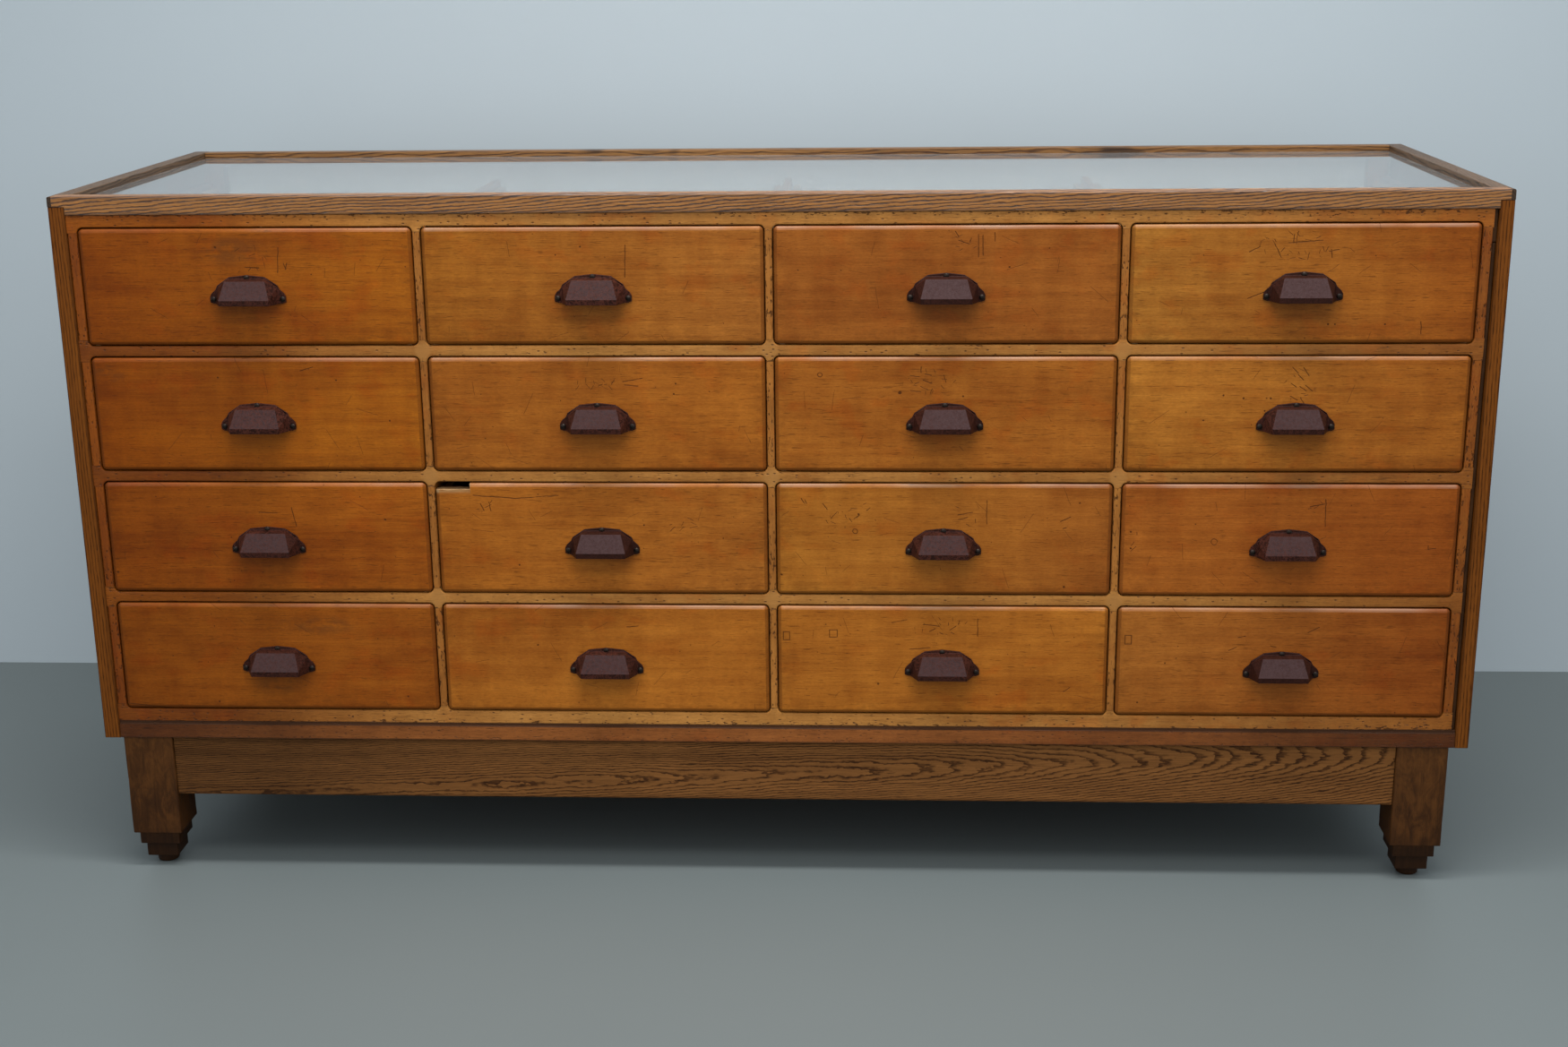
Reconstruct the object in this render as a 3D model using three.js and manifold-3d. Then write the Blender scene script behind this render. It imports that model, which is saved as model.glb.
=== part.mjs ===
// Haberdashery cabinet: sixteen drawers in a beech face frame, an oak case with a glazed top, a plinth on legs.
// Millimetres. +X to the right as seen from the front, +Y to the back, +Z up. The origin is on the floor,
// under the middle of the whole object, pulls included.

import * as THREE from 'three';
import { mergeVertices } from 'three/addons/utils/BufferGeometryUtils.js';
import { ConvexGeometry } from 'three/addons/geometries/ConvexGeometry.js';
import Module from 'manifold-3d';

const wasm = await Module();
wasm.setup();

// Counts
const rows = 4;
const columns = 4;
const arcSteps = 6;
const roundOverSteps = 3;
const glideSteps = 20;

// Widths across the front
const sideLeftThickness = 23.4;
const sideRightThickness = 19.1;
const outerStile = 13.3;
const stile = 10.6;
const outerOpening = 465.5;
const innerOpening = 471;
const fillerSpace = 6.1;

// Heights from the floor up
const legHeight = 210.5;
const bottomBoardThickness = 26.7;
const frameBottomRail = 18.8;
const openingHeight = 165;
const frameRail = 15;
const frameTopRail = 17.5;
const topFrameHeight = 25.5;

// Depths, and how far the front faces lie behind the front of the case
const caseDepth = 623;
const frameSetback = 2;
const frameThickness = 26;
const drawerSetback = 0.5;
const bottomBoardSetback = 0.8;

// Edges and fits
const arris = 2.6;
const smallArris = 1.2;
const panelArris = 1.6;
const slipGap = 0.3;
const overrun = 5;

// Glazed top frame
const topRailWidth = 25;
const lapLip = 5.4;
const glassThickness = 5.5;
const glassSink = 9;
const glassLedge = 8;
const glassGap = 1;
const glassCorner = 3;

// Back panel in its rebate
const backThickness = 8;
const backInset = 2;
const backRebateWidth = 9;

// Bottom board's nosing, with a thin strip set back above its face
const stripHeight = 4.4;
const stripSetback = 1.4;

// Filler strip beside the face frame, with a wider head above a saw cut
const fillerGap = 0.8;
const fillerSetback = 6;
const fillerDepth = 20;
const fillerHeadHeight = 45;
const fillerHeadGap = 0.4;
const fillerKerf = 1.6;
const fillerKerfDepth = 3;

// Face frame's rounded opening corners, and the drawer stops let into its rails
const openingFillet = 8;
const stopWidth = 30;
const stopHeight = 4;
const stopInset = 60;
const stopLetIn = 3;

// Partitions: the panel's top edge, runners and guides on both faces, and the rear posts
const partitionDrop = 9;
const runnerReach = 15;
const runnerThickness = 13;
const guideReach = 4.2;
const guideHeight = 12;
const postWidth = 53;
const postDepth = 20;
const postDrop = 46;
const cornerPostWidth = 20;

// Drawers
const drawerGap = 1.2;
const drawerFrontThickness = 20;
const drawerRoundOver = 6.4;
const drawerRoundDepth = 4.8;
const drawerLength = 570;
const drawerSideInset = 5;
const drawerSideThickness = 11;
const drawerSideHeight = 150;
const drawerSideRound = 5;
const drawerBackThickness = 11;
const drawerBackDrop = 8;
const drawerBackInset = 2;
const drawerBottomThickness = 6;
const drawerBottomRaise = 8;
const drawerGroove = 4;
const drawerDovetail = 13;

// Cup pulls: a lobed flange with a faceted cup, open below
const pullWidth = 106;
const pullHeight = 39.5;
const pullReach = 22.4;
const pullWall = 2.6;
const pullRaise = 60;

// Legs and aprons
const legWidth = 73;
const legInset = 26;
const legSetback = 3;
const legChamfer = 1.5;
const tierInset = 6.5;
const upperTierHeight = 19.9;
const lowerTierHeight = 22.6;
const glideHeight = 14;
const glideRadius = 16;
const glideRound = 3;
const apronHeight = 92;
const apronThickness = 22;
const apronSetback = 4;

// Outline of half a pull's flange, from the peak down, as shares of half its width and of its height
const flangeShares = [[0, 1], [0.47, 0.93], [0.79, 0.64], [0.84, 0.5], [0.955, 0.36], [1, 0.25], [1, 0.05], [0.9, 0]];

// Corners of half the cup, as shares of half the pull's width, of its height and of its reach past the flange
const cupFootShares = [[0.5, 0.88, 0], [0.79, 0.56, 0], [0.85, 0, 0]];
const cupFaceShares = [[0.53, 0.82, 0.5], [0.66, 0.19, 1], [0.65, 0, 1]];

// Places across the front
const openingWidths = [outerOpening, innerOpening, innerOpening, outerOpening];
const faceWidth = 2 * outerStile + (columns - 1) * stile + openingWidths.reduce((sum, width) => sum + width, 0);
const caseWidth = sideLeftThickness + faceWidth + fillerSpace + sideRightThickness;
const caseHalf = caseWidth / 2;
const faceLeft = -caseHalf + sideLeftThickness;
const faceRight = faceLeft + faceWidth;

// Places up the front
const boardTop = legHeight + bottomBoardThickness;
const firstOpening = boardTop + frameBottomRail;
const rowPitch = openingHeight + frameRail;
const faceTop = firstOpening + rows * openingHeight + (rows - 1) * frameRail + frameTopRail;
const caseTop = faceTop + topFrameHeight;
const glassUnderside = caseTop - glassSink - glassThickness;

// Places from front to back
const pullDepth = pullWall + pullReach;
const pullPastCase = pullDepth - drawerSetback;
const front = (pullPastCase - caseDepth) / 2;
const back = front + caseDepth;
const frameFront = front + frameSetback;
const frameBack = frameFront + frameThickness;
const backRebateDepth = backInset + backThickness;
const panelFront = back - backRebateDepth;

const oak = { color: 0x82593a, roughness: 0.55 };
const oakSide = { color: 0x683d19, roughness: 0.55 };
const beech = { color: 0x8e6137, roughness: 0.5 };
const drawerBeech = { color: 0x8f521e, roughness: 0.45 };
const redBrown = { color: 0x6f4121, roughness: 0.6 };
const darkOak = { color: 0x5c3e26, roughness: 0.6 };
const legStain = { color: 0x3f2817, roughness: 0.5 };
const paleLining = { color: 0xa9a99f, roughness: 0.8 };
const clearGlass = { color: 0xb2bdc1, roughness: 0.05 };
const moulded = { color: 0x3a2020, roughness: 0.25 };

// Points of an arc about a centre, angles in degrees
function arc([u, v], radius, from, to, steps = arcSteps) {
  return Array.from({ length: steps + 1 }, (_, step) => {
    const angle = THREE.MathUtils.degToRad(from + ((to - from) * step) / steps);
    return [u + radius * Math.cos(angle), v + radius * Math.sin(angle)];
  });
}

// A rectangle with round corners about its own middle, anticlockwise
function roundedRectangle(width, height, radius) {
  const u = width / 2 - radius;
  const v = height / 2 - radius;
  return [
    ...arc([u, -v], radius, -90, 0),
    ...arc([u, v], radius, 0, 90),
    ...arc([-u, v], radius, 90, 180),
    ...arc([-u, -v], radius, 180, 270),
  ];
}

function mirrored(outline, side) {
  return outline.map(([u, v]) => [side * u, v]);
}

function extruded(outline, depth) {
  const shape = new THREE.Shape(outline.map(([u, v]) => new THREE.Vector2(u, v)));
  return new THREE.ExtrudeGeometry(shape, { depth, bevelEnabled: false });
}

const xAxis = new THREE.Vector3(1, 0, 0);
const yAxis = new THREE.Vector3(0, 1, 0);
const zAxis = new THREE.Vector3(0, 0, 1);

// An outline of [y, z] points drawn out along X
function alongX(outline, from, to) {
  const turn = new THREE.Matrix4().makeBasis(yAxis, zAxis, xAxis);
  return extruded(outline, to - from).applyMatrix4(turn).translate(from, 0, 0);
}

// An outline of [x, z] points drawn out along Y
function alongY(outline, from, to) {
  const turn = new THREE.Matrix4().makeBasis(xAxis, zAxis, yAxis.clone().negate());
  return extruded(outline, to - from).applyMatrix4(turn).translate(0, to, 0);
}

// An outline of [x, y] points drawn out along Z
function alongZ(outline, from, to) {
  return extruded(outline, to - from).translate(0, 0, from);
}

function block([x0, x1], [y0, y1], [z0, z1]) {
  const box = new THREE.BoxGeometry(x1 - x0, y1 - y0, z1 - z0);
  return box.translate((x0 + x1) / 2, (y0 + y1) / 2, (z0 + z1) / 2);
}

// A skin over rings of equally many points, closed by a fan at both ends. The rings run anticlockwise
// as seen from the last one.
function loft(rings) {
  const count = rings[0].length;
  const positions = rings.flat(2);
  const indices = [];
  for (let ring = 0; ring + 1 < rings.length; ring += 1) {
    for (let point = 0; point < count; point += 1) {
      const next = (point + 1) % count;
      const a = ring * count + point;
      const b = ring * count + next;
      indices.push(a, b, b + count, a, b + count, a + count);
    }
  }
  const last = (rings.length - 1) * count;
  for (let point = 1; point + 1 < count; point += 1) {
    indices.push(0, point + 1, point);
    indices.push(last, last + point, last + point + 1);
  }
  const geometry = new THREE.BufferGeometry();
  geometry.setAttribute('position', new THREE.Float32BufferAttribute(positions, 3));
  geometry.setIndex(indices);
  return geometry;
}

function toSolid(geometry) {
  const bare = geometry.clone();
  bare.deleteAttribute('normal');
  bare.deleteAttribute('uv');
  const merged = mergeVertices(bare);
  return new wasm.Manifold(new wasm.Mesh({
    numProp: 3,
    vertProperties: new Float32Array(merged.attributes.position.array),
    triVerts: new Uint32Array(merged.index.array),
  }));
}

function toGeometry(solid) {
  const mesh = solid.getMesh();
  const geometry = new THREE.BufferGeometry();
  geometry.setAttribute('position', new THREE.BufferAttribute(new Float32Array(mesh.vertProperties), 3));
  geometry.setIndex(new THREE.BufferAttribute(new Uint32Array(mesh.triVerts), 1));
  geometry.computeVertexNormals();
  return geometry;
}

function joined(...geometries) {
  return toGeometry(geometries.map(toSolid).reduce((sum, solid) => sum.add(solid)));
}

function cut(geometry, ...tools) {
  return toGeometry(tools.map(toSolid).reduce((rest, tool) => rest.subtract(tool), toSolid(geometry)));
}

function piece(name, geometry, finish) {
  const mesh = new THREE.Mesh(geometry, new THREE.MeshStandardMaterial(finish));
  mesh.name = name;
  return mesh;
}

// Left and right edge of each column's opening
const openings = [];
for (let column = 0; column < columns; column += 1) {
  const left = column === 0 ? faceLeft + outerStile : openings[column - 1][1] + stile;
  openings.push([left, left + openingWidths[column]]);
}

// Height of the lower edge of a row's opening, the top row being row 0
function openingBottom(row) {
  return firstOpening + (rows - 1 - row) * rowPitch;
}

// A side panel, its outer front arris eased, with the back panel's rebate
function sidePanel(side, thickness) {
  const inner = caseHalf - thickness;
  const outline = [
    [inner, front],
    ...arc([caseHalf - panelArris, front + panelArris], panelArris, -90, 0),
    [caseHalf, back],
    [inner + backRebateWidth, back],
    [inner + backRebateWidth, panelFront],
    [inner, panelFront],
  ];
  return alongZ(mirrored(outline, side), legHeight, glassUnderside);
}

// A side rail of the top frame: a tongue inside the panel carries the glass, and the front end is cut
// back to a thin lip that covers the end of the front rail
function topSideRail(side, panelThickness) {
  const inner = caseHalf - topRailWidth;
  const ledge = inner - glassLedge;
  const panelInner = caseHalf - panelThickness;
  const outline = [
    [caseHalf, glassUnderside],
    ...arc([caseHalf - arris, caseTop - arris], arris, 0, 90),
    ...arc([inner + smallArris, caseTop - smallArris], smallArris, 90, 180),
    [inner, glassUnderside],
    [ledge, glassUnderside],
    [ledge, faceTop],
    [panelInner, faceTop],
    [panelInner, glassUnderside],
  ];
  const rail = alongY(mirrored(outline, side), front, back);
  const across = (from, to) => [side * from, side * to].sort((a, b) => a - b);
  const lap = block(
    across(ledge - overrun, caseHalf - lapLip),
    [front - overrun, front + topRailWidth],
    [faceTop - overrun, caseTop + overrun],
  );
  const tongueEnd = block(
    across(ledge - overrun, panelInner),
    [front - overrun, front + topRailWidth + glassLedge],
    [faceTop - overrun, glassUnderside],
  );
  return cut(rail, lap, tongueEnd);
}

// The front rail of the top frame laps over the side panels and drops between them
function topFrontRail() {
  const inner = front + topRailWidth;
  const outline = [
    [front, faceTop],
    [inner + glassLedge, faceTop],
    [inner + glassLedge, glassUnderside],
    [inner, glassUnderside],
    ...arc([inner - smallArris, caseTop - smallArris], smallArris, 0, 90),
    ...arc([front + arris, caseTop - arris], arris, 90, 180),
  ];
  const rail = alongX(outline, lapLip - caseHalf, caseHalf - lapLip);
  const depth = [front - overrun, inner + glassLedge + overrun];
  const height = [faceTop - overrun, glassUnderside];
  return cut(
    rail,
    block([-caseHalf, faceLeft], depth, height),
    block([caseHalf - sideRightThickness, caseHalf], depth, height),
  );
}

// The back rail of the top frame butts between the side rails
function topBackRail() {
  const inner = back - topRailWidth;
  const half = caseHalf - topRailWidth;
  const tongueHalf = half - glassLedge;
  const outline = [
    [inner - glassLedge, faceTop],
    [back, faceTop],
    ...arc([back - arris, caseTop - arris], arris, 0, 90),
    ...arc([inner + smallArris, caseTop - smallArris], smallArris, 90, 180),
    [inner, glassUnderside],
    [inner - glassLedge, glassUnderside],
  ];
  const rail = alongX(outline, -half, half);
  const depth = [inner - glassLedge - overrun, back + overrun];
  const height = [faceTop - overrun, glassUnderside];
  return cut(
    rail,
    block([-half - overrun, -tongueHalf], depth, height),
    block([tongueHalf, half + overrun], depth, height),
  );
}

function glassTop() {
  const border = 2 * (topRailWidth + glassGap);
  const outline = roundedRectangle(caseWidth - border, caseDepth - border, glassCorner);
  const pane = alongZ(outline, glassUnderside, glassUnderside + glassThickness);
  return pane.translate(0, (front + back) / 2, 0);
}

function backPanel() {
  const left = faceLeft - backRebateWidth + slipGap;
  const right = caseHalf - sideRightThickness + backRebateWidth - slipGap;
  return block([left, right], [panelFront, panelFront + backThickness], [legHeight, faceTop]);
}

// The bottom board, with its face low on the front and a thin strip above, set back
function bottomBoard() {
  const face = front + bottomBoardSetback;
  const outline = [
    [face, legHeight],
    [panelFront, legHeight],
    [panelFront, boardTop],
    [face + stripSetback, boardTop],
    [face + stripSetback, boardTop - stripHeight],
    [face, boardTop - stripHeight],
  ];
  return alongX(outline, faceLeft, caseHalf - sideRightThickness);
}

function fillerStrip() {
  const face = front + fillerSetback;
  const headBottom = faceTop - fillerHeadHeight;
  const across = (gap) => [faceRight + gap, faceRight + fillerSpace - gap];
  const shaft = block(across(fillerGap), [face, face + fillerDepth], [boardTop, faceTop]);
  const head = block(across(fillerHeadGap), [face, face + fillerDepth], [headBottom, faceTop]);
  const kerf = block(across(0), [face - overrun, face + fillerKerfDepth], [headBottom - fillerKerf, headBottom]);
  return cut(joined(shaft, head), kerf);
}

// One long edge of a face rail, from left to right. Beside each opening it turns in a fillet towards
// the stiles: up if direction is 1, down if it is -1.
function railEdge(height, direction) {
  const turnAt = height + direction * openingFillet;
  const bends = openings.flatMap(([left, right]) => [
    ...arc([left + openingFillet, turnAt], openingFillet, 180, 180 + direction * 90),
    ...arc([right - openingFillet, turnAt], openingFillet, -direction * 90, 0),
  ]);
  return [[faceLeft, turnAt], ...bends, [faceRight, turnAt]];
}

// A rail of the face frame. It is number 0 above the top row, and carries a row's drawer stops if a row
// opens above it.
function faceRail(number) {
  const top = number === 0 ? faceTop : openingBottom(number - 1);
  const bottom = number === rows ? boardTop : openingBottom(number) + openingHeight;
  const upper = number === 0 ? [[faceLeft, top], [faceRight, top]] : railEdge(top, 1);
  const lower = number === rows ? [[faceLeft, bottom], [faceRight, bottom]] : railEdge(bottom, -1);
  const rail = alongY([...lower, ...upper.reverse()], frameFront, frameBack);
  if (number === 0) {
    return rail;
  }
  const stopFront = front + drawerSetback + drawerFrontThickness + slipGap;
  const stops = openings.flatMap(([left, right]) => [left + stopInset, right - stopInset - stopWidth].map(
    (start) => block([start, start + stopWidth], [stopFront, frameBack], [top - stopLetIn, top + stopHeight]),
  ));
  return joined(rail, ...stops);
}

// A partition. Its front edge shows as stiles between the rails of the face frame, runners with guides
// cross it at each row, and a post stiffens its rear edge. left and right say which faces have runners.
function partition(x, thickness, left, right, postHalf, top, postTop) {
  const outline = [[panelFront, boardTop], [panelFront, top], [frameBack, top]];
  for (let row = 0; row < rows; row += 1) {
    const high = openingBottom(row) + openingHeight - openingFillet;
    const low = openingBottom(row) + openingFillet;
    outline.push([frameBack, high], [frameFront, high], [frameFront, low], [frameBack, low]);
  }
  outline.push([frameBack, boardTop]);
  const panel = alongX(outline, x - thickness / 2, x + thickness / 2);

  const postFront = panelFront - postDepth;
  const reach = (isOn, by) => thickness / 2 + (isOn ? by : 0);
  const postLeft = left ? postHalf : thickness / 2;
  const postRight = right ? postHalf : thickness / 2;
  const post = block([x - postLeft, x + postRight], [postFront, panelFront], [boardTop, postTop]);

  const runners = Array.from({ length: rows }, (_, row) => {
    const seat = openingBottom(row);
    const section = [
      [x - reach(left, runnerReach), seat - runnerThickness],
      [x + reach(right, runnerReach), seat - runnerThickness],
      [x + reach(right, runnerReach), seat],
      [x + reach(right, guideReach), seat],
      [x + reach(right, guideReach), seat + guideHeight],
      [x - reach(left, guideReach), seat + guideHeight],
      [x - reach(left, guideReach), seat],
      [x - reach(left, runnerReach), seat],
    ];
    const open = section.filter(([u, v], index) => {
      const [lastU, lastV] = section[(index + section.length - 1) % section.length];
      return u !== lastU || v !== lastV;
    });
    return alongY(open, frameBack, postFront + overrun);
  });
  return joined(panel, post, ...runners);
}

// A drawer in its own frame: the middle of the opening's lower edge, at the front of the case. The front
// is rounded over all round, wider than deep, and the box behind it stands on the runners.
function drawer(openingWidth) {
  const width = openingWidth - 2 * drawerGap;
  const height = openingHeight - 2 * drawerGap;
  const corner = openingFillet - drawerGap;
  const reach = Math.min(drawerRoundOver, corner - slipGap);
  const frontBack = drawerSetback + drawerFrontThickness;
  const ring = (inset, y) => roundedRectangle(width - 2 * inset, height - 2 * inset, corner - inset)
    .map(([u, v]) => [u, y, v + openingHeight / 2]);
  const roundOver = Array.from({ length: roundOverSteps + 1 }, (_, step) => {
    const angle = (step / roundOverSteps) * (Math.PI / 2);
    const inset = reach * (1 - Math.cos(angle));
    return ring(inset, drawerSetback + drawerRoundDepth * (1 - Math.sin(angle)));
  });
  const frontBoard = loft([ring(0, frontBack), ...roundOver]);

  const outer = openingWidth / 2 - drawerSideInset;
  const inner = outer - drawerSideThickness;
  const rear = drawerSetback + drawerLength;
  const sideOutline = [
    [inner, slipGap],
    ...arc([outer - drawerSideRound, slipGap + drawerSideRound], drawerSideRound, -90, 0),
    [outer, drawerSideHeight],
    [inner, drawerSideHeight],
  ];
  const sides = [-1, 1].map((side) => alongY(mirrored(sideOutline, side), frontBack - drawerDovetail, rear));

  const floorTop = drawerBottomRaise + drawerBottomThickness;
  const grooved = inner + drawerGroove;
  const backRear = rear - drawerBackInset;
  const floor = block([-grooved, grooved], [frontBack - drawerGroove, backRear], [drawerBottomRaise, floorTop]);
  const rearBoard = block(
    [-grooved, grooved],
    [backRear - drawerBackThickness, backRear],
    [floorTop - drawerGroove, drawerSideHeight - drawerBackDrop],
  );
  return joined(frontBoard, ...sides, floor, rearBoard);
}

// The corners of the cup on both sides, drawn in by a wall all round, and let out below by a drop
function cupPoints(wall, drop) {
  const shares = [...cupFootShares, ...cupFaceShares];
  return shares.flatMap(([across, up, out]) => [-1, 1].map((side) => {
    const x = side * ((across * pullWidth) / 2 - wall);
    const y = -pullWall - out * (pullReach - wall);
    const z = up === 0 ? -drop : up * pullHeight - wall;
    return new THREE.Vector3(x, y, z);
  }));
}

// A cup pull in its own frame: the middle of its lower edge, on the face of the drawer
function cupPull() {
  const half = flangeShares.map(([across, up]) => [(across * pullWidth) / 2, up * pullHeight]);
  const outline = [...half, ...mirrored(half.slice(1), -1).reverse()];
  const flange = alongY(outline, -pullWall, 0);
  const cup = new ConvexGeometry(cupPoints(0, 0));
  const hollow = new ConvexGeometry(cupPoints(pullWall, overrun));
  const flangeAndCup = toSolid(flange).add(toSolid(cup));
  return toGeometry(flangeAndCup.subtract(toSolid(hollow)));
}

function chamferedSquare(width, chamfer) {
  const half = width / 2;
  const short = half - chamfer;
  return [
    [short, -half], [half, -short], [half, short], [short, half],
    [-short, half], [-half, short], [-half, -short], [-short, -half],
  ];
}

// A leg about its own axis, on the floor: a square post, two tiers that step in, and a round glide
function leg() {
  const lowerTop = glideHeight + lowerTierHeight;
  const upperTop = lowerTop + upperTierHeight;
  const post = alongZ(chamferedSquare(legWidth, legChamfer), upperTop, legHeight);
  const upper = alongZ(chamferedSquare(legWidth - 2 * tierInset, legChamfer), lowerTop, upperTop + overrun);
  const lower = alongZ(chamferedSquare(legWidth - 4 * tierInset, legChamfer), glideHeight, lowerTop + overrun);
  const profile = [
    [0, 0],
    ...arc([glideRadius - glideRound, glideRound], glideRound, -90, 0, roundOverSteps),
    [glideRadius, glideHeight + overrun],
    [0, glideHeight + overrun],
  ];
  const points = profile.map(([radius, height]) => new THREE.Vector2(Math.max(radius, 0), height));
  const glide = new THREE.LatheGeometry(points, glideSteps).rotateX(Math.PI / 2);
  return joined(post, upper, lower, glide);
}

// Section of an apron across its length, from its outer face inwards, lower arrises eased
function apronSection(outerFace, inwards) {
  const depth = inwards * apronThickness;
  const ease = inwards * smallArris;
  return [
    [outerFace, legHeight],
    [outerFace, legHeight - apronHeight + smallArris],
    [outerFace + ease, legHeight - apronHeight],
    [outerFace + depth - ease, legHeight - apronHeight],
    [outerFace + depth, legHeight - apronHeight + smallArris],
    [outerFace + depth, legHeight],
  ];
}

const cabinet = new THREE.Group();

cabinet.add(
  piece('side_panel_left', sidePanel(-1, sideLeftThickness), oakSide),
  piece('side_panel_right', sidePanel(1, sideRightThickness), oakSide),
  piece('top_rail_left', topSideRail(-1, sideLeftThickness), oak),
  piece('top_rail_right', topSideRail(1, sideRightThickness), oak),
  piece('top_rail_front', topFrontRail(), oak),
  piece('top_rail_back', topBackRail(), oak),
  piece('glass_top', glassTop(), clearGlass),
  piece('back_panel', backPanel(), paleLining),
  piece('bottom_board', bottomBoard(), redBrown),
  piece('filler_strip', fillerStrip(), legStain),
);

for (let number = 0; number <= rows; number += 1) {
  cabinet.add(piece(`face_rail_${number + 1}`, faceRail(number), beech));
}

// Partitions: one against each side, and one between each two columns
const partitionTop = openingBottom(0) + openingHeight - partitionDrop;
const postTop = faceTop - postDrop;
const halfOuter = outerStile / 2;
cabinet.add(
  piece(
    'partition_left',
    partition(faceLeft + halfOuter, outerStile, false, true, halfOuter + cornerPostWidth, partitionTop, faceTop),
    beech,
  ),
  piece(
    'partition_right',
    partition(faceRight - halfOuter, outerStile, true, false, halfOuter + cornerPostWidth, partitionTop, faceTop),
    beech,
  ),
);
for (let column = 1; column < columns; column += 1) {
  const x = openings[column][0] - stile / 2;
  cabinet.add(piece(
    `partition_${column}`,
    partition(x, stile, true, true, postWidth / 2, partitionTop, postTop),
    beech,
  ));
}

// Drawers with their pulls, row by row from the top, column by column from the left
const pullGeometry = cupPull();
for (let row = 0; row < rows; row += 1) {
  for (let column = 0; column < columns; column += 1) {
    const [left, right] = openings[column];
    const place = new THREE.Group();
    place.position.set((left + right) / 2, front, openingBottom(row));
    const pull = piece(`pull_${row + 1}_${column + 1}`, pullGeometry.clone(), moulded);
    pull.position.set(0, drawerSetback, pullRaise);
    place.add(piece(`drawer_${row + 1}_${column + 1}`, drawer(right - left), drawerBeech), pull);
    cabinet.add(place);
  }
}

// Legs near the corners, their outer faces set in from the sides of the case
const legX = caseHalf - legInset - legWidth / 2;
const legFrontY = front + legSetback + legWidth / 2;
const legBackY = back - legSetback - legWidth / 2;
for (const [depthName, y] of [['front', legFrontY], ['back', legBackY]]) {
  for (const [sideName, side] of [['left', -1], ['right', 1]]) {
    const mesh = piece(`leg_${depthName}_${sideName}`, leg(), legStain);
    mesh.position.set(side * legX, y, 0);
    cabinet.add(mesh);
  }
}

// Aprons between the legs
const apronHalf = legX - legWidth / 2;
const apronFrontEnd = legFrontY + legWidth / 2;
const apronBackEnd = legBackY - legWidth / 2;
const frontApronFace = front + legSetback + apronSetback;
const backApronFace = back - legSetback - apronSetback;
const sideApronFace = caseHalf - legInset - apronSetback;
cabinet.add(
  piece('apron_front', alongX(apronSection(frontApronFace, 1), -apronHalf, apronHalf), darkOak),
  piece('apron_back', alongX(apronSection(backApronFace, -1), -apronHalf, apronHalf), darkOak),
  piece('apron_left', alongY(apronSection(-sideApronFace, 1), apronFrontEnd, apronBackEnd), darkOak),
  piece('apron_right', alongY(apronSection(sideApronFace, -1), apronFrontEnd, apronBackEnd), darkOak),
);

export default cabinet;
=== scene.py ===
"""Haberdashery cabinet: softened edges, wear and finishes, laid over the construction model.

Metres. +X to the right as seen from the front, +Y to the back, +Z up, the origin on the floor.
"""
import logging
import math
from collections.abc import Callable, Iterable
from dataclasses import dataclass, replace
from enum import Enum
from functools import reduce
from typing import Any

import bmesh
import bpy
from bmesh.types import BMEdge, BMVert
from mathutils import Matrix, Vector, noise


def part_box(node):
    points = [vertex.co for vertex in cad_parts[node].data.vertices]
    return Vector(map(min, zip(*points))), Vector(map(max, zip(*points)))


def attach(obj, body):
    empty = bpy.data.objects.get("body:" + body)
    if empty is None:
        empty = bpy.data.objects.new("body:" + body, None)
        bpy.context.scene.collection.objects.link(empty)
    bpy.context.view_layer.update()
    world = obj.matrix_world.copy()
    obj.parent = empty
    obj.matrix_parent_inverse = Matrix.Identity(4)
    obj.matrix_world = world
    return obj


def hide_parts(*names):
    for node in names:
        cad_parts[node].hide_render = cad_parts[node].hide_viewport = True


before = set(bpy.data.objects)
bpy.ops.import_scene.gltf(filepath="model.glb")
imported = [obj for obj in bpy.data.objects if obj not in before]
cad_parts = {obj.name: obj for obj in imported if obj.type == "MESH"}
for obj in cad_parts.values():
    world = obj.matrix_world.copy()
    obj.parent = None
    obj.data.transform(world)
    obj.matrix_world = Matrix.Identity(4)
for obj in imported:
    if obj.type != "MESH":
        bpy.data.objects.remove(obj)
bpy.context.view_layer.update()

log = logging.getLogger("cabinet")

MM = 0.001
TOUCH = 0.01 * MM
NEAR = 0.1 * MM
WELD = 0.02 * MM
FLAT = math.radians(0.6)
SHARP = math.radians(30)
KINK = math.radians(8)
WHITE = (1.0, 1.0, 1.0)
ROWS = 4
COLUMNS = 4

Colour = tuple[float, float, float]
Spot = tuple[float, float]
Places = tuple[tuple[float, ...], ...]
EdgeTest = Callable[[Vector, Vector], bool]


class Grain(Enum):
    """The axis that a board's fibres follow, then the two axes across them."""

    ALONG_X = (0, 1, 2)
    ALONG_Y = (1, 0, 2)
    ALONG_Z = (2, 1, 0)

    @property
    def along(self) -> int:
        """The axis that the fibres follow."""
        return self.value[0]


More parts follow.
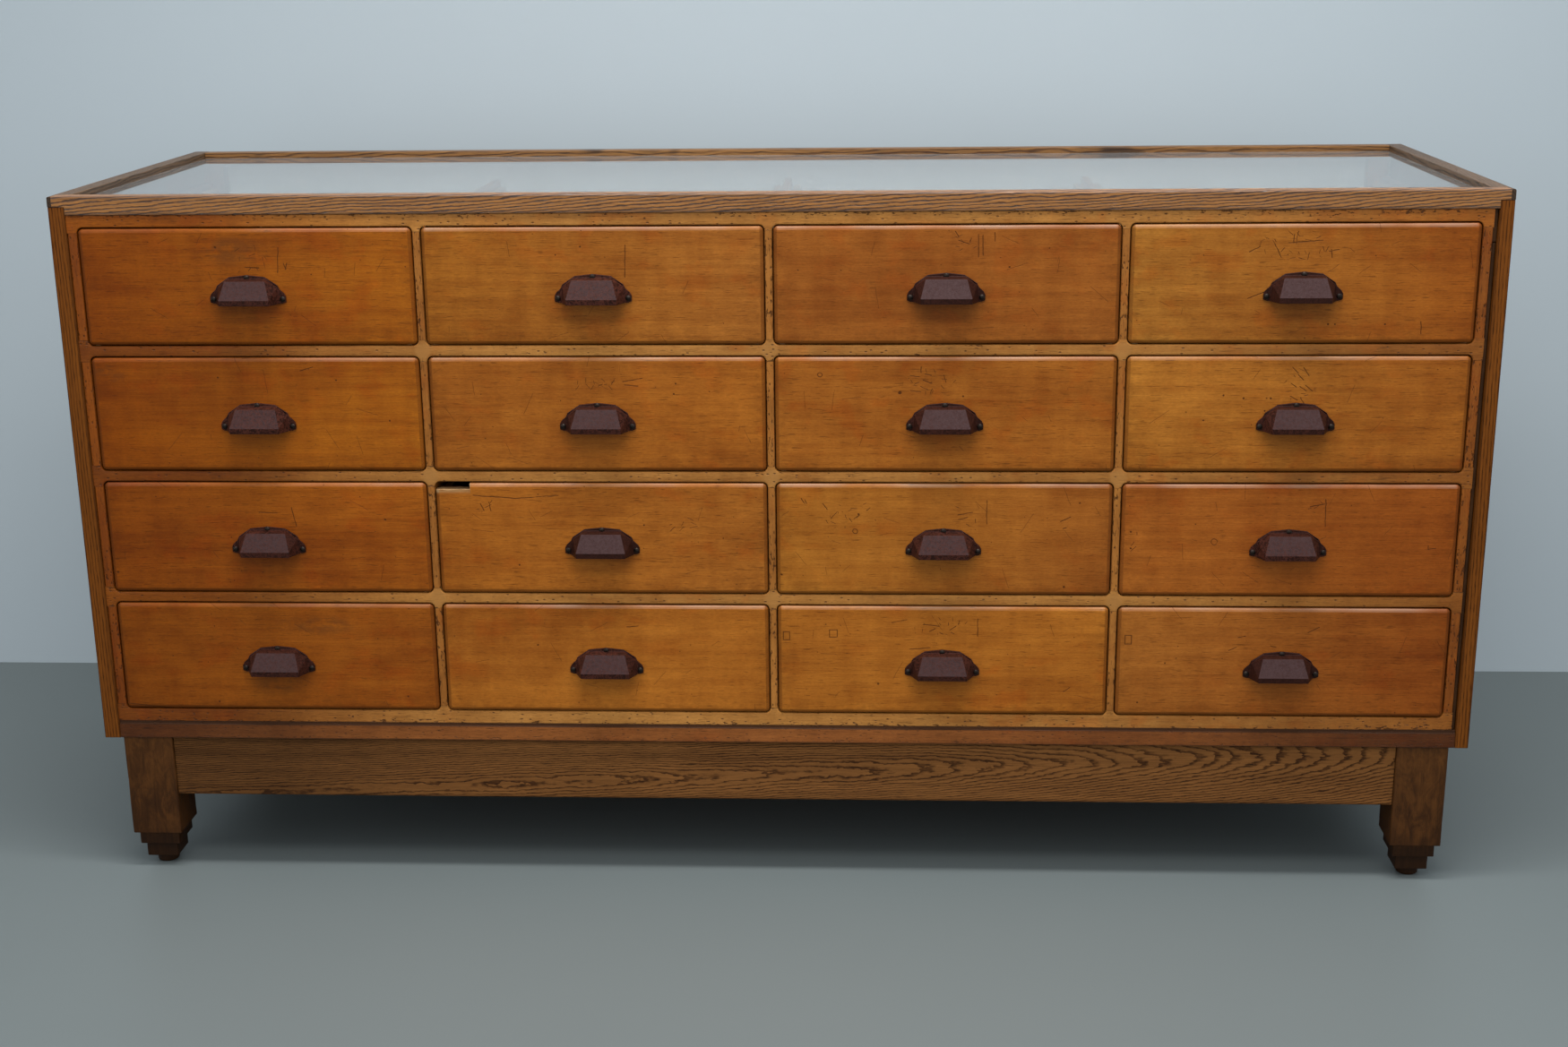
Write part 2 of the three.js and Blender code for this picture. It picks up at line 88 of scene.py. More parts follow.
class Wire:
    """A shader socket that takes part in Python expressions."""

    def __init__(self, shader: "Shader", socket: bpy.types.NodeSocket) -> None:
        """Wraps an output socket.

        Args:
            shader: The shader that the socket's node belongs to.
            socket: The output socket.
        """
        self.shader = shader
        self.socket = socket

    @property
    def is_vector(self) -> bool:
        """Whether the socket holds a vector or a colour."""
        return self.socket.type in {"VECTOR", "RGBA"}

    def _with(self, operation: str, left: Any, right: Any) -> "Wire":
        """Makes the Math or Vector Math node for one operation on two values."""
        kind = "ShaderNodeVectorMath" if self.is_vector else "ShaderNodeMath"
        return self.shader.make(kind, {"operation": operation}, {0: left, 1: right})

    def __add__(self, other: Any) -> "Wire":
        """Sum."""
        return self._with("ADD", self, other)

    __radd__ = __add__

    def __sub__(self, other: Any) -> "Wire":
        """Difference."""
        return self._with("SUBTRACT", self, other)

    def __rsub__(self, other: Any) -> "Wire":
        """Reflected difference."""
        return self._with("SUBTRACT", other, self)

    def __mul__(self, other: Any) -> "Wire":
        """Product; a vector times a number is scaled."""
        other_is_vector = other.is_vector if isinstance(other, Wire) else isinstance(other, tuple | Vector)
        if self.is_vector == other_is_vector:
            return self._with("MULTIPLY", self, other)
        vector, number = (self, other) if self.is_vector else (other, self)
        return self.shader.make("ShaderNodeVectorMath", {"operation": "SCALE"}, {0: vector, "Scale": number})

    __rmul__ = __mul__

    def __truediv__(self, other: Any) -> "Wire":
        """Quotient."""
        return self._with("DIVIDE", self, other)

    def _alone(self, operation: str) -> "Wire":
        """Makes the Math node for one operation on this value."""
        return self.shader.make("ShaderNodeMath", {"operation": operation}, {0: self})

    def __abs__(self) -> "Wire":
        """Size without sign."""
        return self._alone("ABSOLUTE")

    def least(self, other: Any) -> "Wire":
        """The smaller of two values."""
        return self._with("MINIMUM", self, other)

    def most(self, other: Any) -> "Wire":
        """The larger of two values."""
        return self._with("MAXIMUM", self, other)

    def fraction(self) -> "Wire":
        """The part after the decimal point."""
        return self._alone("FRACT")

    def floor(self) -> "Wire":
        """The whole number below."""
        return self._alone("FLOOR")

    def root(self) -> "Wire":
        """Square root."""
        return self._alone("SQRT")

    def sine(self) -> "Wire":
        """Sine of an angle in radians."""
        return self._alone("SINE")

    def cosine(self) -> "Wire":
        """Cosine of an angle in radians."""
        return self._alone("COSINE")

    def clamped(self) -> "Wire":
        """The value kept from 0 to 1."""
        return self.shader.make("ShaderNodeClamp", {}, {0: self})

    def length(self) -> "Wire":
        """Length of a vector."""
        return self.shader.make("ShaderNodeVectorMath", {"operation": "LENGTH"}, {0: self}, "Value")

    def dot(self, other: Any) -> "Wire":
        """Dot product with another vector."""
        settings = {"operation": "DOT_PRODUCT"}
        return self.shader.make("ShaderNodeVectorMath", settings, {0: self, 1: other}, "Value")

    def also(self, output: str) -> "Wire":
        """Another output of the same node."""
        return Wire(self.shader, self.socket.node.outputs[output])

    def ease(self, start: float, end: float) -> "Wire":
        """A soft step from 0 at start to 1 at end; start may be the larger of the two."""
        sockets = {"Value": self, "From Min": start, "From Max": end}
        return self.shader.make("ShaderNodeMapRange", {"interpolation_type": "SMOOTHSTEP"}, sockets)

    def parts(self) -> tuple["Wire", "Wire", "Wire"]:
        """The three parts of a vector."""
        first = self.shader.make("ShaderNodeSeparateXYZ", {}, {0: self})
        return first, first.also("Y"), first.also("Z")


class Shader:
    """The node tree of one material, built by expressions on wires."""

    def __init__(self, name: str) -> None:
        """Makes an empty material.

        Args:
            name: The material's name.
        """
        self.material = bpy.data.materials.new(name)
        self.material.use_nodes = True
        self.material.node_tree.nodes.clear()

    def make(self, kind: str, settings: dict[str, Any], sockets: dict[Any, Any], output: Any = 0) -> Wire:
        """Makes one node.

        Args:
            kind: The node's type.
            settings: Its settings, set before its sockets are.
            sockets: A value or a wire for each socket that isn't left at its default.
            output: The output that is wanted.

        Returns:
            That output as a wire.
        """
        node = self.material.node_tree.nodes.new(kind)
        for name, value in settings.items():
            setattr(node, name, value)
        for key, value in sockets.items():
            self._feed(node.inputs[key], value)
        return Wire(self, node.outputs[output])

    def _feed(self, socket: bpy.types.NodeSocket, value: Any) -> None:
        """Links a wire to a socket, or writes a value to it."""
        if isinstance(value, Wire):
            self.material.node_tree.links.new(value.socket, socket)
        elif socket.type == "RGBA":
            socket.default_value = (*value, 1.0)
        elif socket.type == "VECTOR" and isinstance(value, int | float):
            socket.default_value = (value, value, value)
        else:
            socket.default_value = value

    def place(self) -> Wire:
        """The point being shaded, in metres."""
        return self.make("ShaderNodeTexCoord", {}, {}, "Object")

    def join(self, x: Any, y: Any, z: Any) -> Wire:
        """A vector from three values."""
        return self.make("ShaderNodeCombineXYZ", {}, {0: x, 1: y, 2: z})

    def cloud(self, at: Wire, scale: float, detail: float, rough: float = 0.5, warp: float = 0) -> Wire:
        """Soft noise about one half."""
        sockets = {"Vector": at, "Scale": scale, "Detail": detail, "Roughness": rough, "Distortion": warp}
        return self.make("ShaderNodeTexNoise", {}, sockets)

    def stretched(
        self, fibres: Wire, along: float, across: float, detail: float = 2, rough: float = 0.5,
        warp: float = 0,
    ) -> Wire:
        """Soft noise about one half, with one scale along a board's fibres and another across them."""
        return self.cloud(fibres * (along, across, across), 1, detail, rough, warp)

    def cells(self, at: Wire, scale: float) -> Wire:
        """Scattered cells: the distance to the nearest one's middle, with its random colour beside it."""
        return self.make("ShaderNodeTexVoronoi", {}, {"Vector": at, "Scale": scale}, "Distance")

    def mix(self, base: Any, other: Any, share: Any) -> Wire:
        """A colour that goes from base to other as share goes from 0 to 1."""
        settings = {"data_type": "RGBA", "clamp_factor": True}
        return self.make("ShaderNodeMix", settings, {0: share, 6: base, 7: other}, 2)

    def bump(self, height: Wire, depth: float) -> Wire:
        """A surface normal from a height of 0 to 1 that is worth a depth in metres."""
        sockets = {"Height": height, "Distance": depth, "Strength": 1.0}
        return self.make("ShaderNodeBump", {}, sockets)

    def surface(self, sockets: dict[str, Any]) -> bpy.types.Material:
        """Ends the material with a Principled shader.

        Args:
            sockets: What the shader's sockets are set to.

        Returns:
            The material.
        """
        shader = self.make("ShaderNodeBsdfPrincipled", {}, sockets)
        self.make_output(shader)
        return self.material

    def make_output(self, shader: Wire) -> None:
        """Links a shader to the material's output."""
        node = self.material.node_tree.nodes.new("ShaderNodeOutputMaterial")
        self.material.node_tree.links.new(shader.socket, node.inputs["Surface"])


@dataclass(frozen=True)
class Stock:
    """A board in its place: its corners and the way its fibres run.

    Attributes:
        low: Lowest corner.
        high: Highest corner.
        grain: The axis of the fibres.
        seed: Sets its figure apart from the other boards'.
        node: The construction node that it stands for, where it stands for a whole one.
    """

    low: Vector
    high: Vector
    grain: Grain
    seed: float
    node: str = ""

    @classmethod
    def of(cls, node: str, grain: Grain, seed: float) -> "Stock":
        """The board that a construction node holds."""
        return cls(*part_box(node), grain, seed, node)

    @property
    def middle(self) -> Vector:
        """The board's middle."""
        return (self.low + self.high) / 2

    @property
    def half(self) -> Vector:
        """Half the board's size."""
        return (self.high - self.low) / 2

    def local(self, shader: Shader) -> Wire:
        """The shaded point as seen from the board's middle."""
        return shader.place() - tuple(self.middle)

    def across(self, shader: Shader) -> tuple[Wire, Wire, Wire]:
        """The shaded point along and across the fibres, from the board's middle."""
        parts = self.local(shader).parts()
        return tuple(parts[axis] for axis in self.grain.value)

    def fibres(self, shader: Shader) -> Wire:
        """The shaded point with its first part along the fibres, moved by the board's seed."""
        along, first, second = self.across(shader)
        return shader.join(along + self.seed * 3.17, first + self.seed * 0.31, second + self.seed * 0.53)

    def inside(self, shader: Shader) -> Wire:
        """How far the shaded point lies in from the board's long arrises."""
        _, first, second = self.across(shader)
        _, first_axis, second_axis = self.grain.value
        return (self.half[first_axis] - abs(first)).most(self.half[second_axis] - abs(second))


@dataclass(frozen=True)
class Log:
    """How a board lay in its log.

    Attributes:
        pith: Where the pith runs across the fibres, from the board's middle.
        slope: How the pith drifts along the board.
        ring: Width of a growth ring.
        early: Share of a ring that is early wood.
        waver: How far the rings wander.
        fray: How ragged the rings' edges are.
        bow: Curves the pith away past bow_start, which cuts the rings into arches.
        bow_start: Where along the board the bow starts.
        planks: Width of the planks that a wide board is glued from, or 0 for a single one.
        dull_start: Where along the board its dull end starts to clear.
        dull_end: Where along the board it is clear, or 0 for a board without a dull end.
    """

    pith: Spot = (0.09, 0.03)
    slope: Spot = (0.012, 0.006)
    ring: float = 3.4 * MM
    early: float = 0.35
    waver: float = 5 * MM
    fray: float = 0.0
    bow: float = 0.0
    bow_start: float = 0.0
    planks: float = 0.0
    dull_start: float = 0.0
    dull_end: float = 0.0


@dataclass(frozen=True)
class Oak:
    """Oak with growth rings, open pores and rubbed-in dirt.

    Attributes:
        name: The finish's name.
        light: Colour of the late wood.
        dark: Colour of the early wood and the streaks.
        dirt: Colour that gathers at the arrises.
        roughness: Roughness of the face.
        gloss: Strength of its reflections.
        dirt_width: How far the dirt reaches from an arris.
        dirt_share: How dark the dirt is, from 0 to 1.
        stained: How dark its round stains are, from 0 to 1.
        contrast: How much its figure stands out.
    """

    name: str
    light: Colour
    dark: Colour
    dirt: Colour
    roughness: float = 0.45
    gloss: float = 0.3
    dirt_width: float = 5 * MM
    dirt_share: float = 0.5
    stained: float = 0.0
    contrast: float = 1.0

    def rings(self, shader: Shader, stock: Stock, cut: Log) -> Wire:
        """The early wood's share at a point, from the distance to the log's pith.

        Args:
            shader: The material's shader.
            stock: The board.
            cut: How it lay in its log.

        Returns:
            The share, from 0 to 1.
        """
        fibres = stock.fibres(shader)
        along, first, second = stock.across(shader)
        # Each plank of a glued board has rings of its own.
        if cut.planks:
            plank = (first / cut.planks).floor()
            along = along + plank * 1.37
            first = first - plank * cut.planks
            fibres = fibres + shader.join(plank * 1.37, plank * 0.71, plank * 0.43)
        # The pith runs aslant and may bow away, which cuts the rings into arches.
        drift = (along - cut.bow_start).most(0.0)
        pith_first = along * cut.slope[0] + drift * drift * cut.bow + cut.pith[0]
        pith_second = along * cut.slope[1] + cut.pith[1]
        # Noise bends the rings and frays their edges.
        wide = shader.stretched(fibres, 2.5, 9)
        near = shader.stretched(fibres, 16, 60)
        wander = (wide - 0.5) * (cut.waver * 4) + (near - 0.5) * cut.waver
        if cut.fray:
            wander = wander + (shader.stretched(fibres, 80, 210, 2, 0.6) - 0.5) * cut.fray
        reach = first - pith_first
        rise = second - pith_second
        radius = (reach * reach + rise * rise).root() + wander
        phase = (radius / cut.ring).fraction()
        return phase.ease(0.0, 0.1) * phase.ease(cut.early + 0.25, cut.early - 0.15)

    def make(self, stock: Stock, cut: Log) -> bpy.types.Material:
        """Makes the material of one board.

        Args:
            stock: The board.
            cut: How it lay in its log.

        Returns:
            The material.
        """
        shader = Shader(self.name)
        fibres = stock.fibres(shader)
        early = self.rings(shader, stock, cut)
        streak = shader.stretched(fibres, 3.5, 70, 3, 0.6)
        thread = shader.stretched(fibres, 26, 900, 2, 0.6)
        patch = shader.stretched(fibres, 3, 9, 3, 0.6)
        pore = shader.stretched(fibres, 60, 1500, 0)
        pores = pore.ease(0.56, 0.66) * (early * 0.75 + 0.25)
        # Rings and streaks make the figure, threads and pores the fine grain.
        figure = (early - 0.4) * 0.7 + (streak - 0.5) * 1.1
        depth = figure * self.contrast + (patch - 0.5) * 0.5 + 0.4
        tone = shader.mix(self.light, self.dark, depth)
        tone = tone * (thread * (0.7 * self.contrast) + (1 - 0.35 * self.contrast))
        tone = shader.mix(tone, self.dirt, pores * 0.8)
        # Dirt lies in stains, along the arrises, at the ends and over a dull end.
        stain = shader.stretched(fibres, 11, 22).ease(0.58, 0.7) * self.stained
        dirt = self.dirt_at_arrises(shader, stock, patch).most(stain)
        along = stock.across(shader)[0]
        length = stock.half[stock.grain.along]
        dirt = dirt.most(abs(along).ease(length - 1.2 * MM, length - 0.4 * MM) * 0.75)
        if cut.dull_end:
            dirt = dirt.most(along.ease(cut.dull_end, cut.dull_start) * 0.45)
        tone = shader.mix(tone, self.dirt, dirt)
        roughness = (thread - 0.5) * 0.25 + pores * 0.15 + self.roughness
        height = thread * 0.35 + early * -0.3 + pores * -0.8 + streak * 0.4
        return shader.surface({
            "Base Color": tone,
            "Roughness": roughness,
            "Specular IOR Level": self.gloss,
            "Normal": shader.bump(height, 0.35 * MM),
        })

    def dirt_at_arrises(self, shader: Shader, stock: Stock, patch: Wire) -> Wire:
        """Dirt along the board's long arrises, broken up by noise."""
        worn = stock.inside(shader) + (patch - 0.5) * (self.dirt_width * 1.6)
        return worn.ease(self.dirt_width, self.dirt_width * 0.1) * self.dirt_share


@dataclass(frozen=True)
class Beech:
    """Beech with fine fibres and short dark flecks.

    Attributes:
        name: The finish's name.
        light: Lighter colour.
        dark: Darker colour.
        dirt: Colour of the dirt, also painted as shade at the arrises and under the top.
        roughness: Roughness of the face.
        gloss: Strength of its reflections.
        dent: How many dents the arrises have, from 0 to 1.
        grime_and_shade: How dark the dirt and painted shade at the arrises are, from 0 to 1.
        grime_and_shade_width: How far that darkening reaches.
        shade_strip: Height of the strip under the board's top that is painted dark as shade.
        ends: What its colour is multiplied by at its ends.
    """

    name: str
    light: Colour
    dark: Colour
    dirt: Colour
    roughness: float = 0.4
    gloss: float = 0.2
    dent: float = 0.0
    grime_and_shade: float = 0.5
    grime_and_shade_width: float = 1.6 * MM
    shade_strip: float = 0.0
    ends: Colour | None = None

    def wood(self, shader: Shader, stock: Stock) -> tuple[Wire, Wire, Wire]:
        """The bare wood.

        Args:
            shader: The material's shader.
            stock: The board.

        Returns:
            Its colour, its fibres' height and its patchiness, the last two about one half.
        """
        fibres = stock.fibres(shader)
        patch = shader.cloud(fibres * (2.2, 10.0, 9.0), 1, 3, 0.55, 0.4)
        mottle = shader.stretched(fibres, 22, 30, 3, 0.55)
        ripple = shader.stretched(fibres, 52, 7)
        streak = shader.stretched(fibres, 4, 120, 3, 0.6)
        thread = shader.stretched(fibres, 24, 1300, 2, 0.6)
        fleck = shader.stretched(fibres, 55, 800, 1)
        grit = shader.stretched(fibres, 230, 560, 2, 0.6)
        # Patches, mottle, ripples and streaks set how dark the wood is.
        depth = (patch - 0.5) * 1.7 + (mottle - 0.5) * 0.9 + (ripple - 0.5) * 0.45 + (streak - 0.5) * 0.9
        tone = shader.mix(self.light, self.dark, depth + 0.5)
        tone = tone * (thread * 0.55 + grit * 0.5 + 0.475)
        # Reddish places, and the short flecks that mark beech.
        blush = mottle.also("Color").parts()[1].ease(0.5, 0.66) * patch.ease(0.42, 0.58)
        tone = shader.mix(tone, tone * (1.04, 0.86, 0.7), blush * 0.7)
        tone = shader.mix(tone, self.dirt, fleck.ease(0.62, 0.72) * 0.5)
        return tone, thread * 0.5 + streak * 0.5, patch

    def make(self, stock: Stock, crossings: "Crossings | None" = None) -> bpy.types.Material:
        """Makes the material of one board.

        Args:
            stock: The board.
            crossings: Where the face frame's joints lie, on a board of that frame.

        Returns:
            The material.
        """
        shader = Shader(self.name)
        tone, height, patch = self.wood(shader, stock)
        edge = stock.inside(shader)
        if self.ends:
            tone = shader.mix(tone, tone * self.ends, abs(stock.across(shader)[0]).ease(0.3, 1.0))
        if crossings:
            tone = crossings.ends_darkened(shader, tone)
            patchwork = crossings.share(shader)
            tone = shader.mix(tone, crossings.tone, patchwork * 0.6)
            edge = edge + patchwork * (6 * MM)
        fibres = stock.fibres(shader)
        # Chips are closest together at the arrises, specks lie anywhere.
        busy = shader.stretched(fibres, 7, 40)
        chips = shader.stretched(fibres, 110, 330, 2, 0.6)
        chip = (chips + edge * -14.0 + (busy - 0.5) * 0.3).ease(0.56, 0.62)
        specks = shader.cells(fibres * (95.0, 170.0, 170.0), 1)
        speck = specks.ease(0.24, 0.12) * specks.also("Color").parts()[0].ease(0.4, 0.46)
        chip = chip.most(speck * 0.8) * self.dent
        # Dirt and painted shade darken the arrises.
        worn = edge + (patch - 0.5) * (2 * MM)
        grime_and_shade = worn.ease(self.grime_and_shade_width, self.grime_and_shade_width * 0.15) * self.grime_and_shade
        # A strip under the board's top is painted dark as shade.
        if self.shade_strip:
            below_top = stock.half.z - stock.local(shader).parts()[2]
            strip_shade = (below_top + (patch - 0.5) * (1.5 * MM)).ease(self.shade_strip + 1.4 * MM, self.shade_strip)
            grime_and_shade = grime_and_shade.most(strip_shade * 0.9)
        tone = shader.mix(tone, self.dirt, grime_and_shade.most(chip * 0.85))
        return shader.surface({
            "Base Color": tone,
            "Roughness": (patch - 0.5) * 0.2 + grime_and_shade * 0.2 + self.roughness,
            "Specular IOR Level": self.gloss,
            "Normal": shader.bump(height + chip * -2.0, 0.3 * MM),
        })


@dataclass(frozen=True)
class Crossings:
    """The joints of the face frame, where the wood was left paler.

    Attributes:
        stiles: Middle of each stile across the front.
        rails: Middle of each rail up the front.
        tone: The paler colour.
        amber: What the wood's colour is multiplied by towards the cabinet's ends.
        reach: Half the size of a pale place.
        left_darkening: Where across the front the darkening starts on the left, and where it is full.
        right_darkening: The same on the right.
        right_share: How strong the darkening is on the right.
    """

    stiles: tuple[float, ...]
    rails: tuple[float, ...]
    tone: Colour
    amber: Colour = (0.48, 0.29, 0.09)
    reach: float = 10 * MM
    left_darkening: Spot = (-0.40, -0.85)
    right_darkening: Spot = (0.5, 1.0)
    right_share: float = 0.75

    def ends_darkened(self, shader: Shader, tone: Wire) -> Wire:
        """A colour of the wood, darkened towards both ends of the frame.

        Args:
            shader: The material's shader.
            tone: The colour.

        Returns:
            The darkened colour.
        """
        x = shader.place().parts()[0]
        left = x.ease(*self.left_darkening)
        right = x.ease(*self.right_darkening) * self.right_share
        return shader.mix(tone, tone * self.amber, left.most(right))

    def share(self, shader: Shader) -> Wire:
        """How much of the pale colour shows at a point.

        Args:
            shader: The material's shader.

        Returns:
            The share, from 0 to 1.
        """
        x, _, z = shader.place().parts()
        beside = self.nearest(x, self.stiles)
        above = self.nearest(z, self.rails)
        away = (beside * beside + above * above).root()
        return away.ease(self.reach * 1.5, self.reach * 0.8)

    def nearest(self, part: Wire, places: tuple[float, ...]) -> Wire:
        """How far a part of a point lies from the nearest of some places."""
        return reduce(Wire.least, [abs(part - place) for place in places])


@dataclass(frozen=True)
class Marks:
    """What years in a shop left on one drawer's front, in millimetres from its middle.

    Attributes:
        shade: What the wood's colour is multiplied by.
        lean: How much the colour gains from the middle to the right end.
        zones: Places full of fine scratches: x, z, half width, half height.
        strokes: Single scratches: x, z, length and angle in degrees.
        dots: Dark dots: x, z, radius.
        rings: Small dark rings: x, z, radius.
        labels: Outlines that labels left: x, z, width, height.
        stains: Soft brown stains: x, z, half width, half height.
        broken: Width and height of a piece broken off the upper left corner.
    """

    shade: Colour = WHITE
    lean: Colour = (0.0, 0.0, 0.0)
    zones: Places = ()
    strokes: Places = ()
    dots: Places = ()
    rings: Places = ()
    labels: Places = ()
    stains: Places = ()
    broken: Spot = (0.0, 0.0)


@dataclass(frozen=True)
class DrawerBeech:
    """The waxed beech of a drawer's front, with its marks.

    Attributes:
        beech: The wood below the marks.
        raw: Colour of freshly broken wood.
        worn: Colour of the upper edge, where the wax has worn off, and of the highlight painted on it.
        shadow_and_stain: Colour of the painted shadow and dirt below the pull, and of the soft stains.
        pull_height: Height of the pull's lower edge above the front's middle.
        pull_shade_drop: How far below that edge the middle of the painted shadow lies, in millimetres.
        pull_shade_size: Half the painted shadow's width and height in millimetres.
        band_foot: Depth below the top at which the worn band with its painted highlight starts, and at which
            it is full.
        band_head: The same at its upper side.
        band_ends: The same from the front's ends inwards.
        highlight_reach: Where across the cabinet the painted highlight on the upper edge starts, and where
            it is full.
        haze: Distance from the ends and the lower edge at which a darkening starts, and at which it is full.
        bend: How far noise bends the marks.
        stroke: Half the width of a stroke's line.
        ring: Half the width of a ring's line.
        dash: Half the length of a fine scratch in cells: the least, and what chance adds.
    """

    beech: Beech
    raw: Colour
    worn: Colour
    shadow_and_stain: Colour
    pull_height: float
    pull_shade_drop: float = 12
    pull_shade_size: Spot = (58, 26)
    band_foot: Spot = (6.2 * MM, 4.6 * MM)
    band_head: Spot = (0.2 * MM, 1.4 * MM)
    band_ends: Spot = (2 * MM, 9 * MM)
    highlight_reach: Spot = (-0.80, -0.48)
    haze: Spot = (32 * MM, 3 * MM)
    bend: float = 1.8 * MM
    stroke: float = 0.45 * MM
    ring: float = 0.4 * MM
    dash: Spot = (0.08, 0.34)

    def make(self, stock: Stock, marks: Marks) -> bpy.types.Material:
        """Makes the material of one drawer's front.

        Args:
            stock: The board.
            marks: Its marks.

        Returns:
            The material.
        """
        shader = Shader(self.beech.name)
        tone, height, patch = self.beech.wood(shader, stock)
        x, y, z = stock.local(shader).parts()
        half = stock.half
        grit = shader.cloud(stock.local(shader) * (55.0, 55.0, 90.0), 1, 3, 0.65)
        if any(marks.lean):
            tone = tone * (shader.join(*WHITE) + (x / half.x) * marks.lean)
        # Painted shadow, with some dirt, below the pull, and soft stains.
        below_pull = self.pull_height / MM - self.pull_shade_drop
        shade_and_stains = self.oval(x, z, (0.0, below_pull, *self.pull_shade_size)) * 0.13
        for stain in marks.stains:
            shade_and_stains = shade_and_stains.most(self.oval(x, z, stain) * grit.ease(0.35, 0.6) * 0.45)
        tone = shader.mix(tone, self.shadow_and_stain, shade_and_stains)
        # The upper edge: worn wax and a painted highlight in a pale band, with a darker painted line between
        # two lamp reflections, weaker at the cabinet's left end.
        side = (half.x - abs(x)).least(z + half.z) + (grit - 0.5) * (3 * MM)
        top = half.z - z
        band = top.ease(*self.band_foot) * top.ease(*self.band_head) * side.ease(*self.band_ends)
        band = band * (1 - abs(top - 3.9 * MM).ease(1.0 * MM, 0.2 * MM) * 0.45)
        highlight_share = shader.place().parts()[0].ease(*self.highlight_reach) * 0.85 + 0.15
        gleam = shader.stretched(stock.fibres(shader), 6, 0, 2, 0.6).ease(0.36, 0.62)
        tone = shader.mix(tone, self.worn, band * highlight_share * (gleam * 0.24 + 0.08))
        # Darker at the edges: a fine line of dirt and painted shade in the gaps, a wide darkening towards
        # the ends and the lower edge, and painted shade on the side and lower round-overs.
        grime_and_shade = side.ease(6.0 * MM, 0.6 * MM).most(top.ease(1.4 * MM, 0.2 * MM))
        haze = side.ease(*self.haze) * grit.ease(0.35, 0.7) * 0.3
        rim = (side + (grit - 0.5) * (-2 * MM)).ease(5.8 * MM, 4.4 * MM) * 0.48
        tone = shader.mix(tone, self.beech.dirt, (grime_and_shade * 0.55).most(haze).most(rim))
        # The marks, and the raw wood at a broken corner.
        nicks = self.nicks(shader, stock, marks, grit)
        tone = shader.mix(tone, self.beech.dirt, nicks)
        if marks.broken[0]:
            bare = self.broken_share(x, y, z, stock, marks.broken)
            tone = shader.mix(tone, self.splinters(shader, stock), bare)
        dulled = (patch - 0.5) * 0.18 + (grime_and_shade + nicks) * 0.15 + (grit - 0.5) * 0.12
        return shader.surface({
            "Base Color": tone,
            "Roughness": dulled + self.beech.roughness,
            "Specular IOR Level": self.beech.gloss,
            "Normal": shader.bump(height + nicks * -1.2, 0.22 * MM),
            "Coat Weight": top.ease(5.2 * MM, 3.0 * MM) * highlight_share * (gleam * 0.33 + 0.06) + 0.03,
            "Coat Roughness": 0.36,
        })

    def oval(self, x: Wire, z: Wire, place: tuple[float, ...]) -> Wire:
        """A soft oval: 1 in its middle and 0 from its rim on.

        Args:
            x: The point across the front.
            z: The point up the front.
            place: The oval's x, z, half width and half height in millimetres.

        Returns:
            How far inside the oval the point lies.
        """
        across = (x - place[0] * MM) / (place[2] * MM)
        up = (z - place[1] * MM) / (place[3] * MM)
        return (across * across + up * up).ease(1.0, 0.0)

    def splinters(self, shader: Shader, stock: Stock) -> Wire:
        """Colour of the raw wood where the corner broke off."""
        splinter = shader.stretched(stock.fibres(shader), 60, 500, 3, 0.7)
        return shader.mix(self.raw, self.beech.dark, splinter.ease(0.45, 0.8))

    def broken_share(self, x: Wire, y: Wire, z: Wire, stock: Stock, size: Spot) -> Wire:
        """Where the raw wood shows round the broken corner.

        Args:
            x: The point across the front.
            y: The point from front to back.
            z: The point up the front.
            stock: The board.
            size: Width and height of the broken piece.

        Returns:
            The raw wood's share, from 0 to 1.
        """
        width, height = size
        half = stock.half
        gone = (x + half.x).ease(width + MM, width) * (half.z - z).ease(1.7 * height, 1.1 * height)
        return gone * ((y + half.y).ease(0.0, 0.5 * MM) * 0.4 + 0.6)

    def nicks(self, shader: Shader, stock: Stock, marks: Marks, grit: Wire) -> Wire:
        """Scratches, dots, rings and label outlines.

        Args:
            shader: The material's shader.
            stock: The board.
            marks: The drawer's marks.
            grit: Noise that breaks the marks up.

        Returns:
            How dark the marks are at a point.
        """
        x, _, z = stock.local(shader).parts()
        flat = shader.join(x, z, 0.0)
        seeded = flat + (stock.seed * 1.3, stock.seed * 0.7, 0.0)
        wobble = shader.cloud(seeded, 120, 1).also("Color") - 0.5
        bent = wobble * (self.bend, self.bend, 0.0)
        # Fine scratches: many in the zones that are listed, a few elsewhere.
        zone: Wire | float = 0.0
        for place in marks.zones:
            zone = self.oval(x, z, place).ease(0.0, 0.45).most(zone)
        dark = self.dashes(shader, seeded + bent, 62, 0.62) * zone * 0.95
        dark = dark.most(self.dashes(shader, seeded + bent + (3.1, 1.7, 0.0), 95, 0.45) * zone * 0.8)
        dark = dark.most(self.dashes(shader, seeded + bent, 24, 0.26) * 0.5)
        # Scattered dark specks.
        specks = shader.cells(seeded + bent, 62)
        pick, depth, _ = specks.also("Color").parts()
        dark = dark.most(specks.ease(0.08, 0.035) * pick.ease(0.42, 0.46) * (depth * 0.5 + 0.45))
        # The strokes, dots, rings and labels that are listed one by one.
        away = self.nearest(flat + bent, marks)
        if away is not None:
            dark = dark.most(away.ease(0.5 * MM, -0.25 * MM) * grit.ease(0.2, 0.45) * 0.9)
        for centre_x, centre_z, width, height in marks.labels:
            beside = abs(x - centre_x * MM) - width * MM / 2
            outside = beside.most(abs(z - centre_z * MM) - height * MM / 2)
            dark = dark.most(abs(outside).ease(0.9 * MM, 0.4 * MM) * grit.ease(0.3, 0.5) * 0.8)
        return dark

